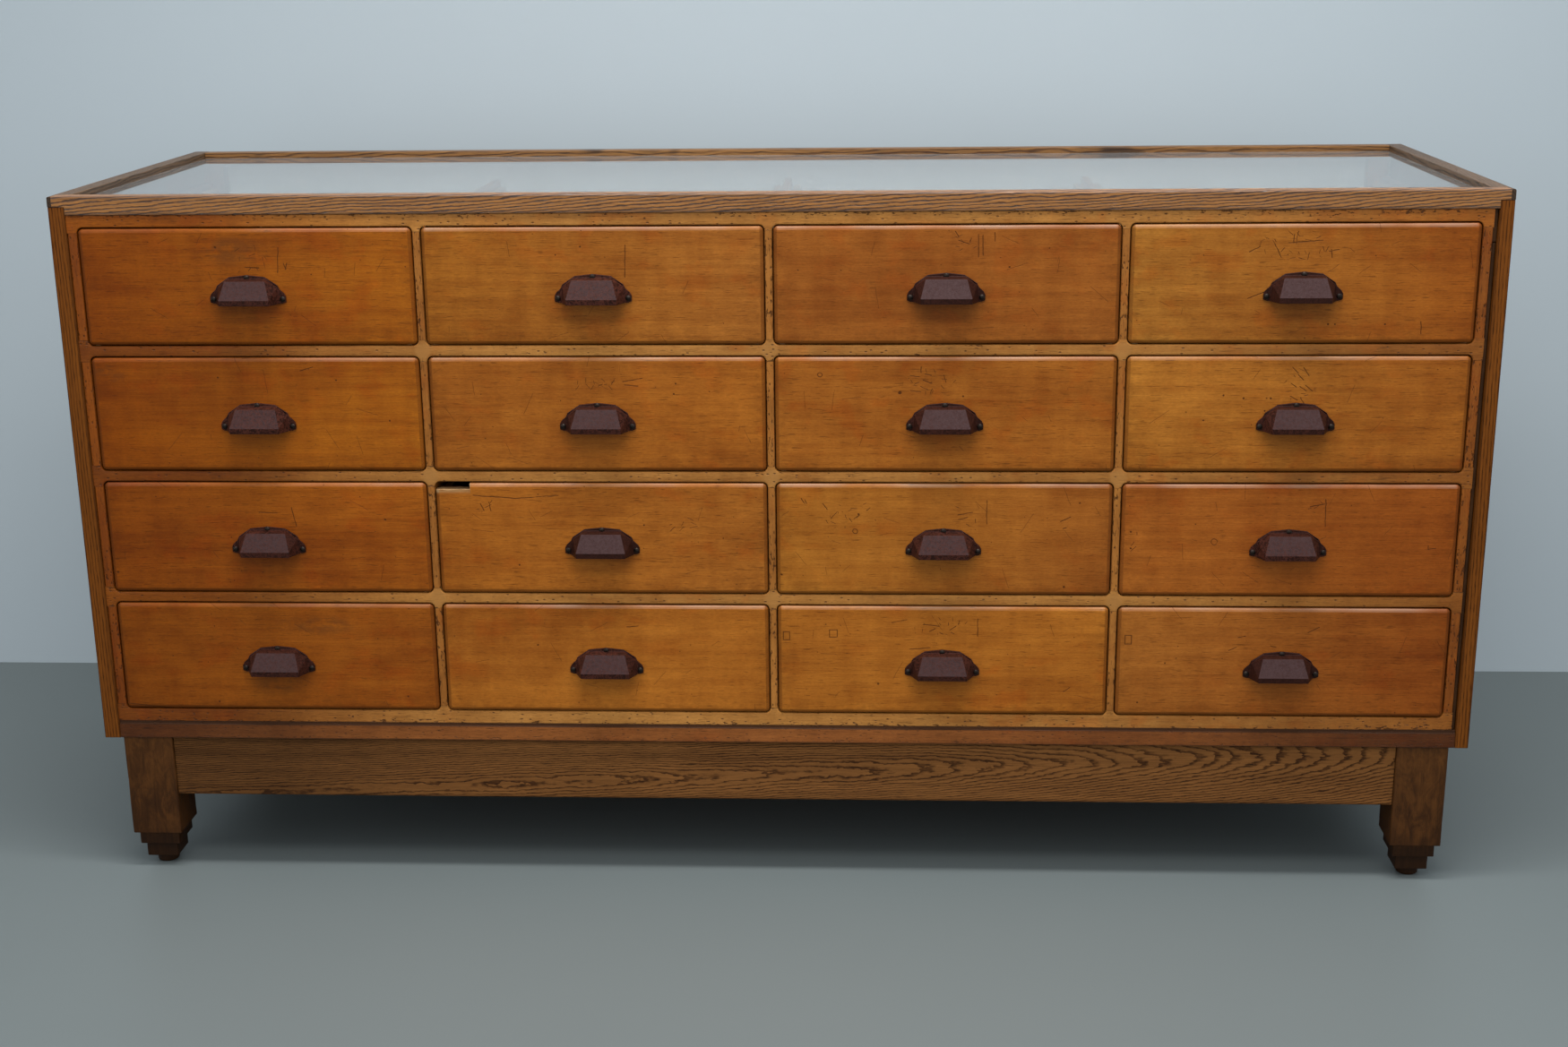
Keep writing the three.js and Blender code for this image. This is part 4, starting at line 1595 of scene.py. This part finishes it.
@dataclass
class Drawer:
    """A drawer: a rounded-over front and the box behind it.

    Attributes:
        row: Row, counted from the top.
        column: Column, counted from the left.
        marks: The marks on its front.
        front_thickness: Thickness of the front.
        corner: Radius of the front's corners.
        round_over: Height of its rounded-over edges.
        round_depth: Depth of its rounded-over edges.
        front_lift: How much higher the front's lower edge lies than the sides'.
        side_inset: How far the sides lie in from the front's ends.
        side_thickness: Thickness of the sides.
        side_height: Height of the sides' upper edge above their lower one.
        side_round: Rounding of the sides' outer lower edges.
        back_inset: How far the back lies in from the sides' ends.
        back_drop: How much lower the back is than the sides.
        back_thickness: Thickness of the back.
        floor_raise: Height of the bottom's lower face.
        floor_thickness: Thickness of the bottom.
        groove: Depth of the grooves that hold the bottom and the back.
        dovetail: How far the sides run into the front.
        upper_round: Rounding of the sides' upper edges.
        back_round: Rounding of the back's upper edges.
        step: Length of the pieces of the front that wear bends.
        loss: The most that the front's arrises lose.
        splinter: How rough the face of a broken corner is.
        splinter_steps: Length of that face's pieces along each axis.
        splinter_scale: How close together its splinters are.
    """

    row: int
    column: int
    marks: Marks
    front_thickness: float = 20 * MM
    corner: float = 6.8 * MM
    round_over: float = 6.4 * MM
    round_depth: float = 4.8 * MM
    front_lift: float = 0.9 * MM
    side_inset: float = 3.8 * MM
    side_thickness: float = 11 * MM
    side_height: float = 149.7 * MM
    side_round: float = 5 * MM
    back_inset: float = 2 * MM
    back_drop: float = 8 * MM
    back_thickness: float = 11 * MM
    floor_raise: float = 7.7 * MM
    floor_thickness: float = 6 * MM
    groove: float = 4 * MM
    dovetail: float = 13 * MM
    upper_round: float = 2.2 * MM
    back_round: float = 1.5 * MM
    step: float = 24 * MM
    loss: float = 0.55 * MM
    splinter: float = 1.5 * MM
    splinter_steps: tuple[float, ...] = (2.5 * MM, 3 * MM, 2.5 * MM)
    splinter_scale: float = 170.0

    @property
    def node(self) -> str:
        """The drawer's construction node."""
        return f"drawer_{self.row}_{self.column}"

    @property
    def body(self) -> str:
        """The body that the drawer rides on."""
        return f"drawer_body_{self.row}_{self.column}"

    @property
    def seed(self) -> float:
        """Sets the drawer's figure and wear apart."""
        return self.row * 5.3 + self.column * 2.9

    def front(self) -> None:
        """Makes the front board, with a piece broken off it where the marks say so."""
        low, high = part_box(self.node)
        low = low + Vector((0, 0, self.front_lift))
        high = Vector((high.x, low.y + self.front_thickness, high.z))
        shape = Shape()
        shape.block(low, high)
        shape.bevel(shape.edges(lambda a, b: abs(a.y - b.y) > MM), self.corner, 6)
        shape.bevel(shape.edges(lambda a, b: max(a.y, b.y) < low.y + TOUCH), self.round_over, 8)
        for vert in shape.mesh.verts:
            # The round-over is flatter than it is high.
            if vert.co.y < low.y + self.round_over + TOUCH:
                vert.co.y = low.y + (vert.co.y - low.y) * self.round_depth / self.round_over
        shape.wear(self.loss, 0, self.step, self.seed, lambda co: co.y > low.y + self.round_over + MM)
        pull_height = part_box(f"pull_{self.row}_{self.column}")[0].z - (low.z + high.z) / 2
        finish = DrawerBeech(self.toned(), RAW_WOOD, WORN_WAX_AND_HIGHLIGHT, PULL_SHADOW_AND_DIRT, pull_height)
        material = finish.make(Stock(low, high, Grain.ALONG_X, self.seed), self.marks)
        piece = shape.finish(f"front_{self.row}_{self.column}", material)
        if self.marks.broken[0]:
            self.break_corner(piece, low, high)
        seat(piece, self.body, "beech_drawer", self.node)

    def toned(self) -> Beech:
        """The drawer's own shade of beech.

        Returns:
            The shade.
        """
        wood = DRAWER_BEECH
        light = tuple(part * factor for part, factor in zip(wood.light, self.marks.shade))
        dark = tuple(part * factor for part, factor in zip(wood.dark, self.marks.shade))
        return replace(wood, light=light, dark=dark)

    def break_corner(self, piece: bpy.types.Object, low: Vector, high: Vector) -> None:
        """Breaks the upper left corner off, leaving a rough face.

        Args:
            piece: The front.
            low: Its lowest corner.
            high: Its highest corner.
        """
        width, height = self.marks.broken
        spare = 4 * MM
        cutter = Shape()
        corner = Vector((low.x - spare, low.y - spare, high.z - height))
        cutter.block(corner, Vector((low.x + width, high.y + spare, high.z + spare)))
        # Noise moves the corners of small pieces, which leaves splinters.
        for axis, step in enumerate(self.splinter_steps):
            cutter.slice(axis, step)
        for vert in cutter.mesh.verts:
            at = vert.co * self.splinter_scale
            upward = noise.noise(Vector((at.x * 0.6, at.y * 0.4, 3.0)))
            vert.co += Vector((noise.noise(at * 1.7), 0.0, upward)) * self.splinter
        tool = cutter.finish("broken_off", piece.data.materials[0])
        tool.modifiers.clear()
        chop = piece.modifiers.new("Broken off", "BOOLEAN")
        chop.operation = "DIFFERENCE"
        chop.solver = "EXACT"
        chop.object = tool
        piece.modifiers.move(len(piece.modifiers) - 1, 0)
        # Only the cut is worked into the mesh: the weighted normals stay a modifier.
        weighted = piece.modifiers["Weighted normals"]
        weighted.show_viewport = False
        graph = bpy.context.evaluated_depsgraph_get()
        chopped = bpy.data.meshes.new_from_object(piece.evaluated_get(graph), depsgraph=graph)
        weighted.show_viewport = True
        piece.modifiers.remove(chop)
        old = piece.data
        piece.data = chopped
        bpy.data.meshes.remove(old)
        chopped.name = piece.name
        bpy.data.objects.remove(tool)

    def box(self, material: bpy.types.Material) -> None:
        """Makes the sides, the back and the bottom.

        Args:
            material: The finish of the box.
        """
        low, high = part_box(self.node)
        back = high.y
        left = low.x + self.side_inset
        right = high.x - self.side_inset
        start = low.y + self.front_thickness - self.dovetail
        front_back = low.y + self.front_thickness
        shape = Shape()
        for outer, inner in ((left, left + self.side_thickness), (right, right - self.side_thickness)):
            side_low = Vector((min(outer, inner), start, low.z))
            side_high = Vector((max(outer, inner), back, low.z + self.side_height))
            verts = shape.block(side_low, side_high)
            lower = shape.edges(
                lambda a, b: max(a.z, b.z) < low.z + MM and abs(a.x - outer) + abs(b.x - outer) < MM, verts,
            )
            upper = shape.edges(lambda a, b: min(a.z, b.z) > side_high.z - MM and abs(a.y - b.y) > MM, verts)
            shape.bevel(lower, self.side_round, 4)
            shape.bevel([edge for edge in upper if edge.is_valid], self.upper_round, 3)
        inner_left = left + self.side_thickness - self.groove
        inner_right = right - self.side_thickness + self.groove
        floor_low = Vector((inner_left, front_back - self.groove, low.z + self.floor_raise))
        floor_high = Vector((inner_right, back - self.back_inset, floor_low.z + self.floor_thickness))
        shape.block(floor_low, floor_high)
        rear_low = Vector((inner_left, floor_high.y - self.back_thickness, floor_high.z))
        rear_high = Vector((inner_right, floor_high.y, low.z + self.side_height - self.back_drop))
        rear = shape.block(rear_low, rear_high)
        shape.bevel(shape.edges(lambda a, b: min(a.z, b.z) > floor_high.z + MM, rear), self.back_round)
        seat(shape.finish(f"box_{self.row}_{self.column}", material), self.body, "beech_drawer", self.node)


@dataclass
class Plinth:
    """Four stepped legs and the aprons between them.

    Attributes:
        worn: How the aprons' arrises are worn.
        leg_worn: How the legs' arrises are worn.
        foot: Height below which the legs' stain is darkest.
    """

    worn: Worn = Worn(1.0 * MM, 0.5 * MM, 45 * MM)
    leg_worn: Worn = Worn(1.0 * MM, 0.8 * MM, 12 * MM)
    foot: float = 56 * MM

    def leg(self, place: str, seed: float) -> None:
        """Makes one leg."""
        stock = Stock.of(f"leg_{place}", Grain.ALONG_Z, seed)
        lay_stock("stepped", "stained_leg", stock, LEG_STAIN.make(stock, self.foot), self.leg_worn, seed)

    def apron(self, place: str, grain: Grain, cut: Log, seed: float) -> None:
        """Makes one apron."""
        stock = Stock.of(f"apron_{place}", grain, seed)
        lay_stock("oak", "dark_oak", stock, DARK_OAK.make(stock, cut), self.worn, seed)

    def build(self) -> None:
        """Makes the legs and the aprons."""
        for number, place in enumerate(("front_left", "front_right", "back_left", "back_right")):
            self.leg(place, 40.0 + number)
        front = Log(
            pith=(0.012, -0.005), slope=(0.012, 0.05), ring=2.9 * MM, early=0.28, waver=4.2 * MM,
            fray=2.6 * MM, bow=0.05, bow_start=-0.1, dull_start=-0.8, dull_end=-0.35,
        )
        self.apron("front", Grain.ALONG_X, front, 51.0)
        self.apron("back", Grain.ALONG_X, Log(pith=(-0.06, 0.03), slope=(-0.03, 0.01)), 52.0)
        self.apron("left", Grain.ALONG_Y, Log(pith=(0.05, 0.04)), 53.0)
        self.apron("right", Grain.ALONG_Y, Log(pith=(-0.05, 0.03)), 54.0)


MARKS = {
    (1, 1): Marks(
        shade=(0.92, 0.76, 0.33), lean=(0.28, 0.42, 0.68), zones=((4, 38, 30, 26),),
        strokes=((45, 37, 35, -95), (8, 27, 19, -4), (54, 29, 8, -67), (56, 29, 9, -110)),
        dots=((-41, 55, 1.6),), stains=((-20, 50, 60, 25),),
    ),
    (1, 2): Marks(
        shade=(1.05, 1.08, 1.2), lean=(0.0, 0.0, 0.2), strokes=((45, 34, 44, -92),),
        dots=((-16, 54, 1.2), (-50, 43, 1.1)),
    ),
    (1, 3): Marks(
        shade=(0.93, 0.87, 1.05), zones=((26, 58, 22, 16),),
        strokes=(
            (14, 69, 9, -56), (23, 58, 15, -19), (65, 65, 11, -89), (43, 53, 30, -89), (49, 54, 27, -89),
        ),
        dots=((85, 24, 1.2),),
    ),
    (1, 4): Marks(
        shade=(1.05, 1.08, 1.2), lean=(-0.12, -0.3, -0.5), zones=((-10, 52, 62, 24),),
        strokes=(
            (-67, 47, 16, 27), (-36, 45, 20, -63), (0, 57, 45, 4), (-16, 61, 11, -93), (38, 45, 13, 10),
            (35, 41, 11, -80), (-62, -15, 24, 21), (160, -60, 17, -86),
        ),
        dots=((36, -55, 1.3), (45, -55, 1.2), (112, -55, 1.2)),
    ),
    (2, 1): Marks(
        shade=(0.92, 0.76, 0.34), lean=(0.28, 0.42, 0.7), strokes=((73, 65, 19, 16),),
        dots=((-53, 53, 1.3), (114, 49, 1.2), (186, -9, 1.2)), stains=((-211, 60, 34, 18),),
    ),
    (2, 2): Marks(
        shade=(1.07, 1.02, 1.0), lean=(0.08, 0.1, 0.1), zones=((-2, 42, 40, 20),),
        strokes=((50, 49, 28, 10), (48, 41, 19, -4)),
        dots=((48, -11, 1.5), (110, 44, 1.2), (107, 29, 1.2)),
    ),
    (2, 3): Marks(
        shade=(1.1, 1.08, 1.15), zones=((-20, 46, 46, 22),),
        strokes=((-33, 63, 8, -90), (-23, 56, 9, -16), (-24, 46, 13, -22), (-40, 33, 14, -5)),
        dots=((-62, 31, 2.2), (25, 26, 1.2)), rings=((-172, 56, 3.0),),
    ),
    (2, 4): Marks(
        shade=(1.13, 1.17, 1.28), lean=(-0.13, -0.22, -0.3), zones=((4, 44, 26, 34),),
        strokes=(
            (-4, 62, 11, -44), (4, 52, 11, -44), (11, 60, 14, -55), (-5, 41, 9, -34), (8, 36, 11, -35),
            (-4, 23, 11, -27), (8, 19, 10, -59), (16, 37, 12, -40),
        ),
        dots=(
            (-99, 27, 1.3), (-72, 23, 1.4), (-35, 23, 1.3), (-149, 3, 1.2), (-125, -8, 1.1), (-42, 5, 1.2),
        ),
    ),
    (3, 1): Marks(
        shade=(0.91, 0.72, 0.41), lean=(0.27, 0.36, 0.55), strokes=((39, 31, 28, -79), (2, 37, 26, -3)),
        dots=((-224, -52, 1.6), (170, 27, 1.4)),
    ),
    (3, 2): Marks(
        shade=(1.11, 1.07, 1.1), lean=(0.02, 0.06, 0.2), zones=((-163, 52, 22, 18), (115, 18, 26, 18)),
        strokes=((-151, 61, 60, -4), (-91, 61, 61, 4), (-169, 46, 11, -67), (-158, 47, 13, -82)),
        dots=((-120, -39, 1.3), (60, 20, 1.2)), broken=(49 * MM, 10 * MM),
    ),
    (3, 3): Marks(
        shade=(1.1, 1.12, 1.25), lean=(-0.12, -0.2, -0.15), zones=((32, 38, 22, 24), (-130, 35, 50, 26)),
        strokes=(
            (-197, 56, 9, -58), (-193, 55, 6, -65), (-166, 48, 11, -56), (30, 38, 20, 11),
            (27, 31, 13, 12), (170, 30, 15, 26), (169, 17, 5, 15), (60, 40, 34, -90),
        ),
        dots=((-119, 37, 1.3), (-228, -52, 1.5), (189, 54, 1.2), (170, -69, 1.6)),
        rings=((-124, 12, 3.4),),
    ),
    (3, 4): Marks(
        shade=(0.94, 0.78, 0.82), lean=(-0.14, -0.24, -0.35),
        zones=((30, 48, 22, 14), (-212, 0, 18, 22)),
        strokes=(
            (49, 40, 39, -88), (37, 51, 20, 11), (193, -9, 5, -86), (198, -11, 10, 8), (-199, -82, 54, -7),
        ),
        dots=((-218, 12, 1.3), (-217, -12, 1.3)), rings=((-102, -2, 4.0),),
    ),
    (4, 1): Marks(
        shade=(0.85, 0.69, 0.42), lean=(0.18, 0.22, 0.4), strokes=((-176, -80, 101, -7),),
        dots=((-93, -70, 1.4), (186, -60, 1.2)), stains=((60, 48, 70, 18), (-5, -40, 46, 22)),
    ),
    (4, 2): Marks(shade=(1.18, 1.16, 1.15), strokes=((39, 49, 16, 5),), dots=((-99, 20, 1.3),)),
    (4, 3): Marks(
        shade=(1.2, 1.2, 1.2), zones=((0, 52, 50, 16),),
        strokes=(
            (-61, 59, 21, 12), (-16, 53, 23, -6), (-14, 46, 9, 28), (15, 49, 10, 32), (50, 50, 26, -89),
            (-32, 18, 29, 6), (178, -43, 10, 32),
        ),
        dots=((-91, -36, 1.6),), labels=((-222, 36, 9, 12), (-155, 40, 11, 11)),
    ),
    (4, 4): Marks(
        shade=(0.93, 0.84, 1.0), lean=(-0.15, -0.28, -0.4),
        strokes=((-57, 38, 10, 15), (-69, 20, 12, 26), (43, 49, 17, 29), (-12, 24, 8, -10)),
        dots=((-200, -62, 1.3), (-163, -2, 1.2)), labels=((-216, 33, 9, 13),),
    ),
}


class Drawers:
    """The sixteen drawers with their pulls."""

    def build(self) -> None:
        """Makes the drawers, row by row."""
        plastic = PLASTIC.make()
        metal = SCREW_METAL.make()
        pull = CupPull()
        for (row, column), marks in MARKS.items():
            drawer = Drawer(row, column, marks)
            stock = Stock.of(drawer.node, Grain.ALONG_Y, drawer.seed)
            drawer.front()
            drawer.box(INNER_BEECH.make(stock))
            pull.build(row, column, plastic, metal)


@dataclass(frozen=True)
class Lamp:
    """A soft rectangular lamp.

    Attributes:
        name: Its name.
        place: Where it hangs.
        aim: The point that it faces.
        size: Its width and height.
        watts: Its power.
        spread: Angle of its beam in degrees.
    """

    name: str
    place: tuple[float, float, float]
    aim: tuple[float, float, float]
    size: Spot
    watts: float
    spread: float = 180

    def hang(self) -> None:
        """Adds the lamp to the scene."""
        data = bpy.data.lights.new(self.name, "AREA")
        data.shape = "RECTANGLE"
        data.size, data.size_y = self.size
        data.energy = self.watts
        data.spread = math.radians(self.spread)
        lamp = bpy.data.objects.new(self.name, data)
        lamp.location = self.place
        lamp.rotation_euler = (Vector(self.aim) - Vector(self.place)).to_track_quat("-Z", "Y").to_euler()
        bpy.context.scene.collection.objects.link(lamp)


@dataclass
class Studio:
    """A pale floor and wall, soft lamps and the photograph's viewpoint.

    Attributes:
        floor_reach: Half the floor's width and depth.
        wall_place: How far back the wall stands.
        wall_reach: Half the wall's width.
        wall_height: Height of the wall.
        floor_tone: Colour of the floor.
        wall_tone: Colour of the wall.
        lens: Focal length in millimetres.
        sensor: Width of the sensor in millimetres.
        camera_place: Where the camera stands.
        yaw: Turn to the left in degrees.
        pitch: Tilt down in degrees.
        roll: Turn about the line of sight in degrees.
        sky_tone: Colour of the light from all round.
        sky_strength: Strength of that light.
        lamps: The lamps.
    """

    floor_reach: float = 9.0
    wall_place: float = 0.60
    wall_reach: float = 4.0
    wall_height: float = 3.2
    floor_tone: Colour = (0.15, 0.172, 0.17)
    wall_tone: Colour = (0.485, 0.545, 0.575)
    lens: float = 46.718
    sensor: float = 36.0
    camera_place: tuple[float, float, float] = (0.15736, -3.04645, 1.32806)
    yaw: float = 2.942
    pitch: float = 15.951
    roll: float = -0.655
    sky_tone: Colour = (0.9, 0.95, 1.0)
    sky_strength: float = 0.92
    lamps: tuple[Lamp, ...] = (
        Lamp("overhead", (0.1, -0.75, 3.0), (0.1, -0.75, 0.0), (2.4, 0.35), watts=30, spread=120),
        Lamp("front", (0.2, -2.0, 2.9), (0.05, 0.0, 0.4), (2.2, 0.6), watts=18),
    )

    def camera(self) -> None:
        """Sets the camera where the photograph was taken."""
        data = bpy.data.cameras.new("camera")
        data.lens = self.lens
        data.sensor_width = self.sensor
        camera = bpy.data.objects.new("camera", data)
        turn = Matrix.Rotation(math.radians(self.yaw), 4, "Z")
        tilt = Matrix.Rotation(math.radians(90 - self.pitch), 4, "X")
        lean = Matrix.Rotation(math.radians(self.roll), 4, "Z")
        camera.matrix_world = Matrix.Translation(self.camera_place) @ turn @ tilt @ lean
        bpy.context.scene.collection.objects.link(camera)
        bpy.context.scene.camera = camera

    def plain(self, name: str, tone: Colour, one_sided: bool) -> bpy.types.Material:
        """A plain matt finish, which may be clear as seen from behind.

        Args:
            name: The finish's name.
            tone: Its colour.
            one_sided: Whether it is clear as seen from behind.

        Returns:
            The material.
        """
        shader = Shader(name)
        cloud = shader.cloud(shader.place(), 1.4, 4, 0.6)
        colour = shader.mix(tone, tuple(part * 1.06 for part in tone), cloud)
        sockets = {"Base Color": colour, "Roughness": 0.75 if one_sided else 0.45, "Specular IOR Level": 0.3}
        paint = shader.make("ShaderNodeBsdfPrincipled", {}, sockets)
        if one_sided:
            behind = shader.make("ShaderNodeNewGeometry", {}, {}, "Backfacing")
            clear = shader.make("ShaderNodeBsdfTransparent", {}, {})
            paint = shader.make("ShaderNodeMixShader", {}, {0: behind, 1: paint, 2: clear})
        shader.make_output(paint)
        return shader.material

    def sheet(self, corner: Vector, across: Vector, up: Vector, material: bpy.types.Material) -> None:
        """Adds one flat stage surface from a corner and two sides, with its material's name.

        Args:
            corner: One corner.
            across: The side from that corner along the lower edge.
            up: The side that leads on from there.
            material: Its finish, which also gives its name.
        """
        name = material.name
        mesh = bmesh.new()
        corners = (corner, corner + across, corner + across + up, corner + up)
        mesh.faces.new([mesh.verts.new(place) for place in corners])
        data = bpy.data.meshes.new(name)
        mesh.to_mesh(data)
        mesh.free()
        data.materials.append(material)
        surface = bpy.data.objects.new(name, data)
        bpy.context.scene.collection.objects.link(surface)

    def build(self) -> None:
        """Makes the stage, the lamps, the world and the camera."""
        self.camera()
        floor = self.plain("floor", self.floor_tone, one_sided=False)
        wide = self.floor_reach
        self.sheet(Vector((-wide, -wide, 0)), Vector((2 * wide, 0, 0)), Vector((0, 2 * wide, 0)), floor)
        wall = self.plain("wall", self.wall_tone, one_sided=True)
        corner = Vector((-self.wall_reach, self.wall_place, 0))
        self.sheet(corner, Vector((2 * self.wall_reach, 0, 0)), Vector((0, 0, self.wall_height)), wall)
        for lamp in self.lamps:
            lamp.hang()
        world = bpy.data.worlds.new("studio")
        world.use_nodes = True
        background = world.node_tree.nodes["Background"]
        background.inputs["Color"].default_value = (*self.sky_tone, 1.0)
        background.inputs["Strength"].default_value = self.sky_strength
        bpy.context.scene.world = world
        bpy.context.scene.view_settings.view_transform = "Standard"


def main() -> None:
    """Builds the cabinet, assembly by assembly, and the studio round it."""
    logging.basicConfig(level=logging.INFO, format="%(message)s")
    Studio().build()
    for assembly in (TopFrame(), OakCase(), FaceFrame(), Drawers(), Plinth()):
        assembly.build()


if __name__ == "__main__":
    main()
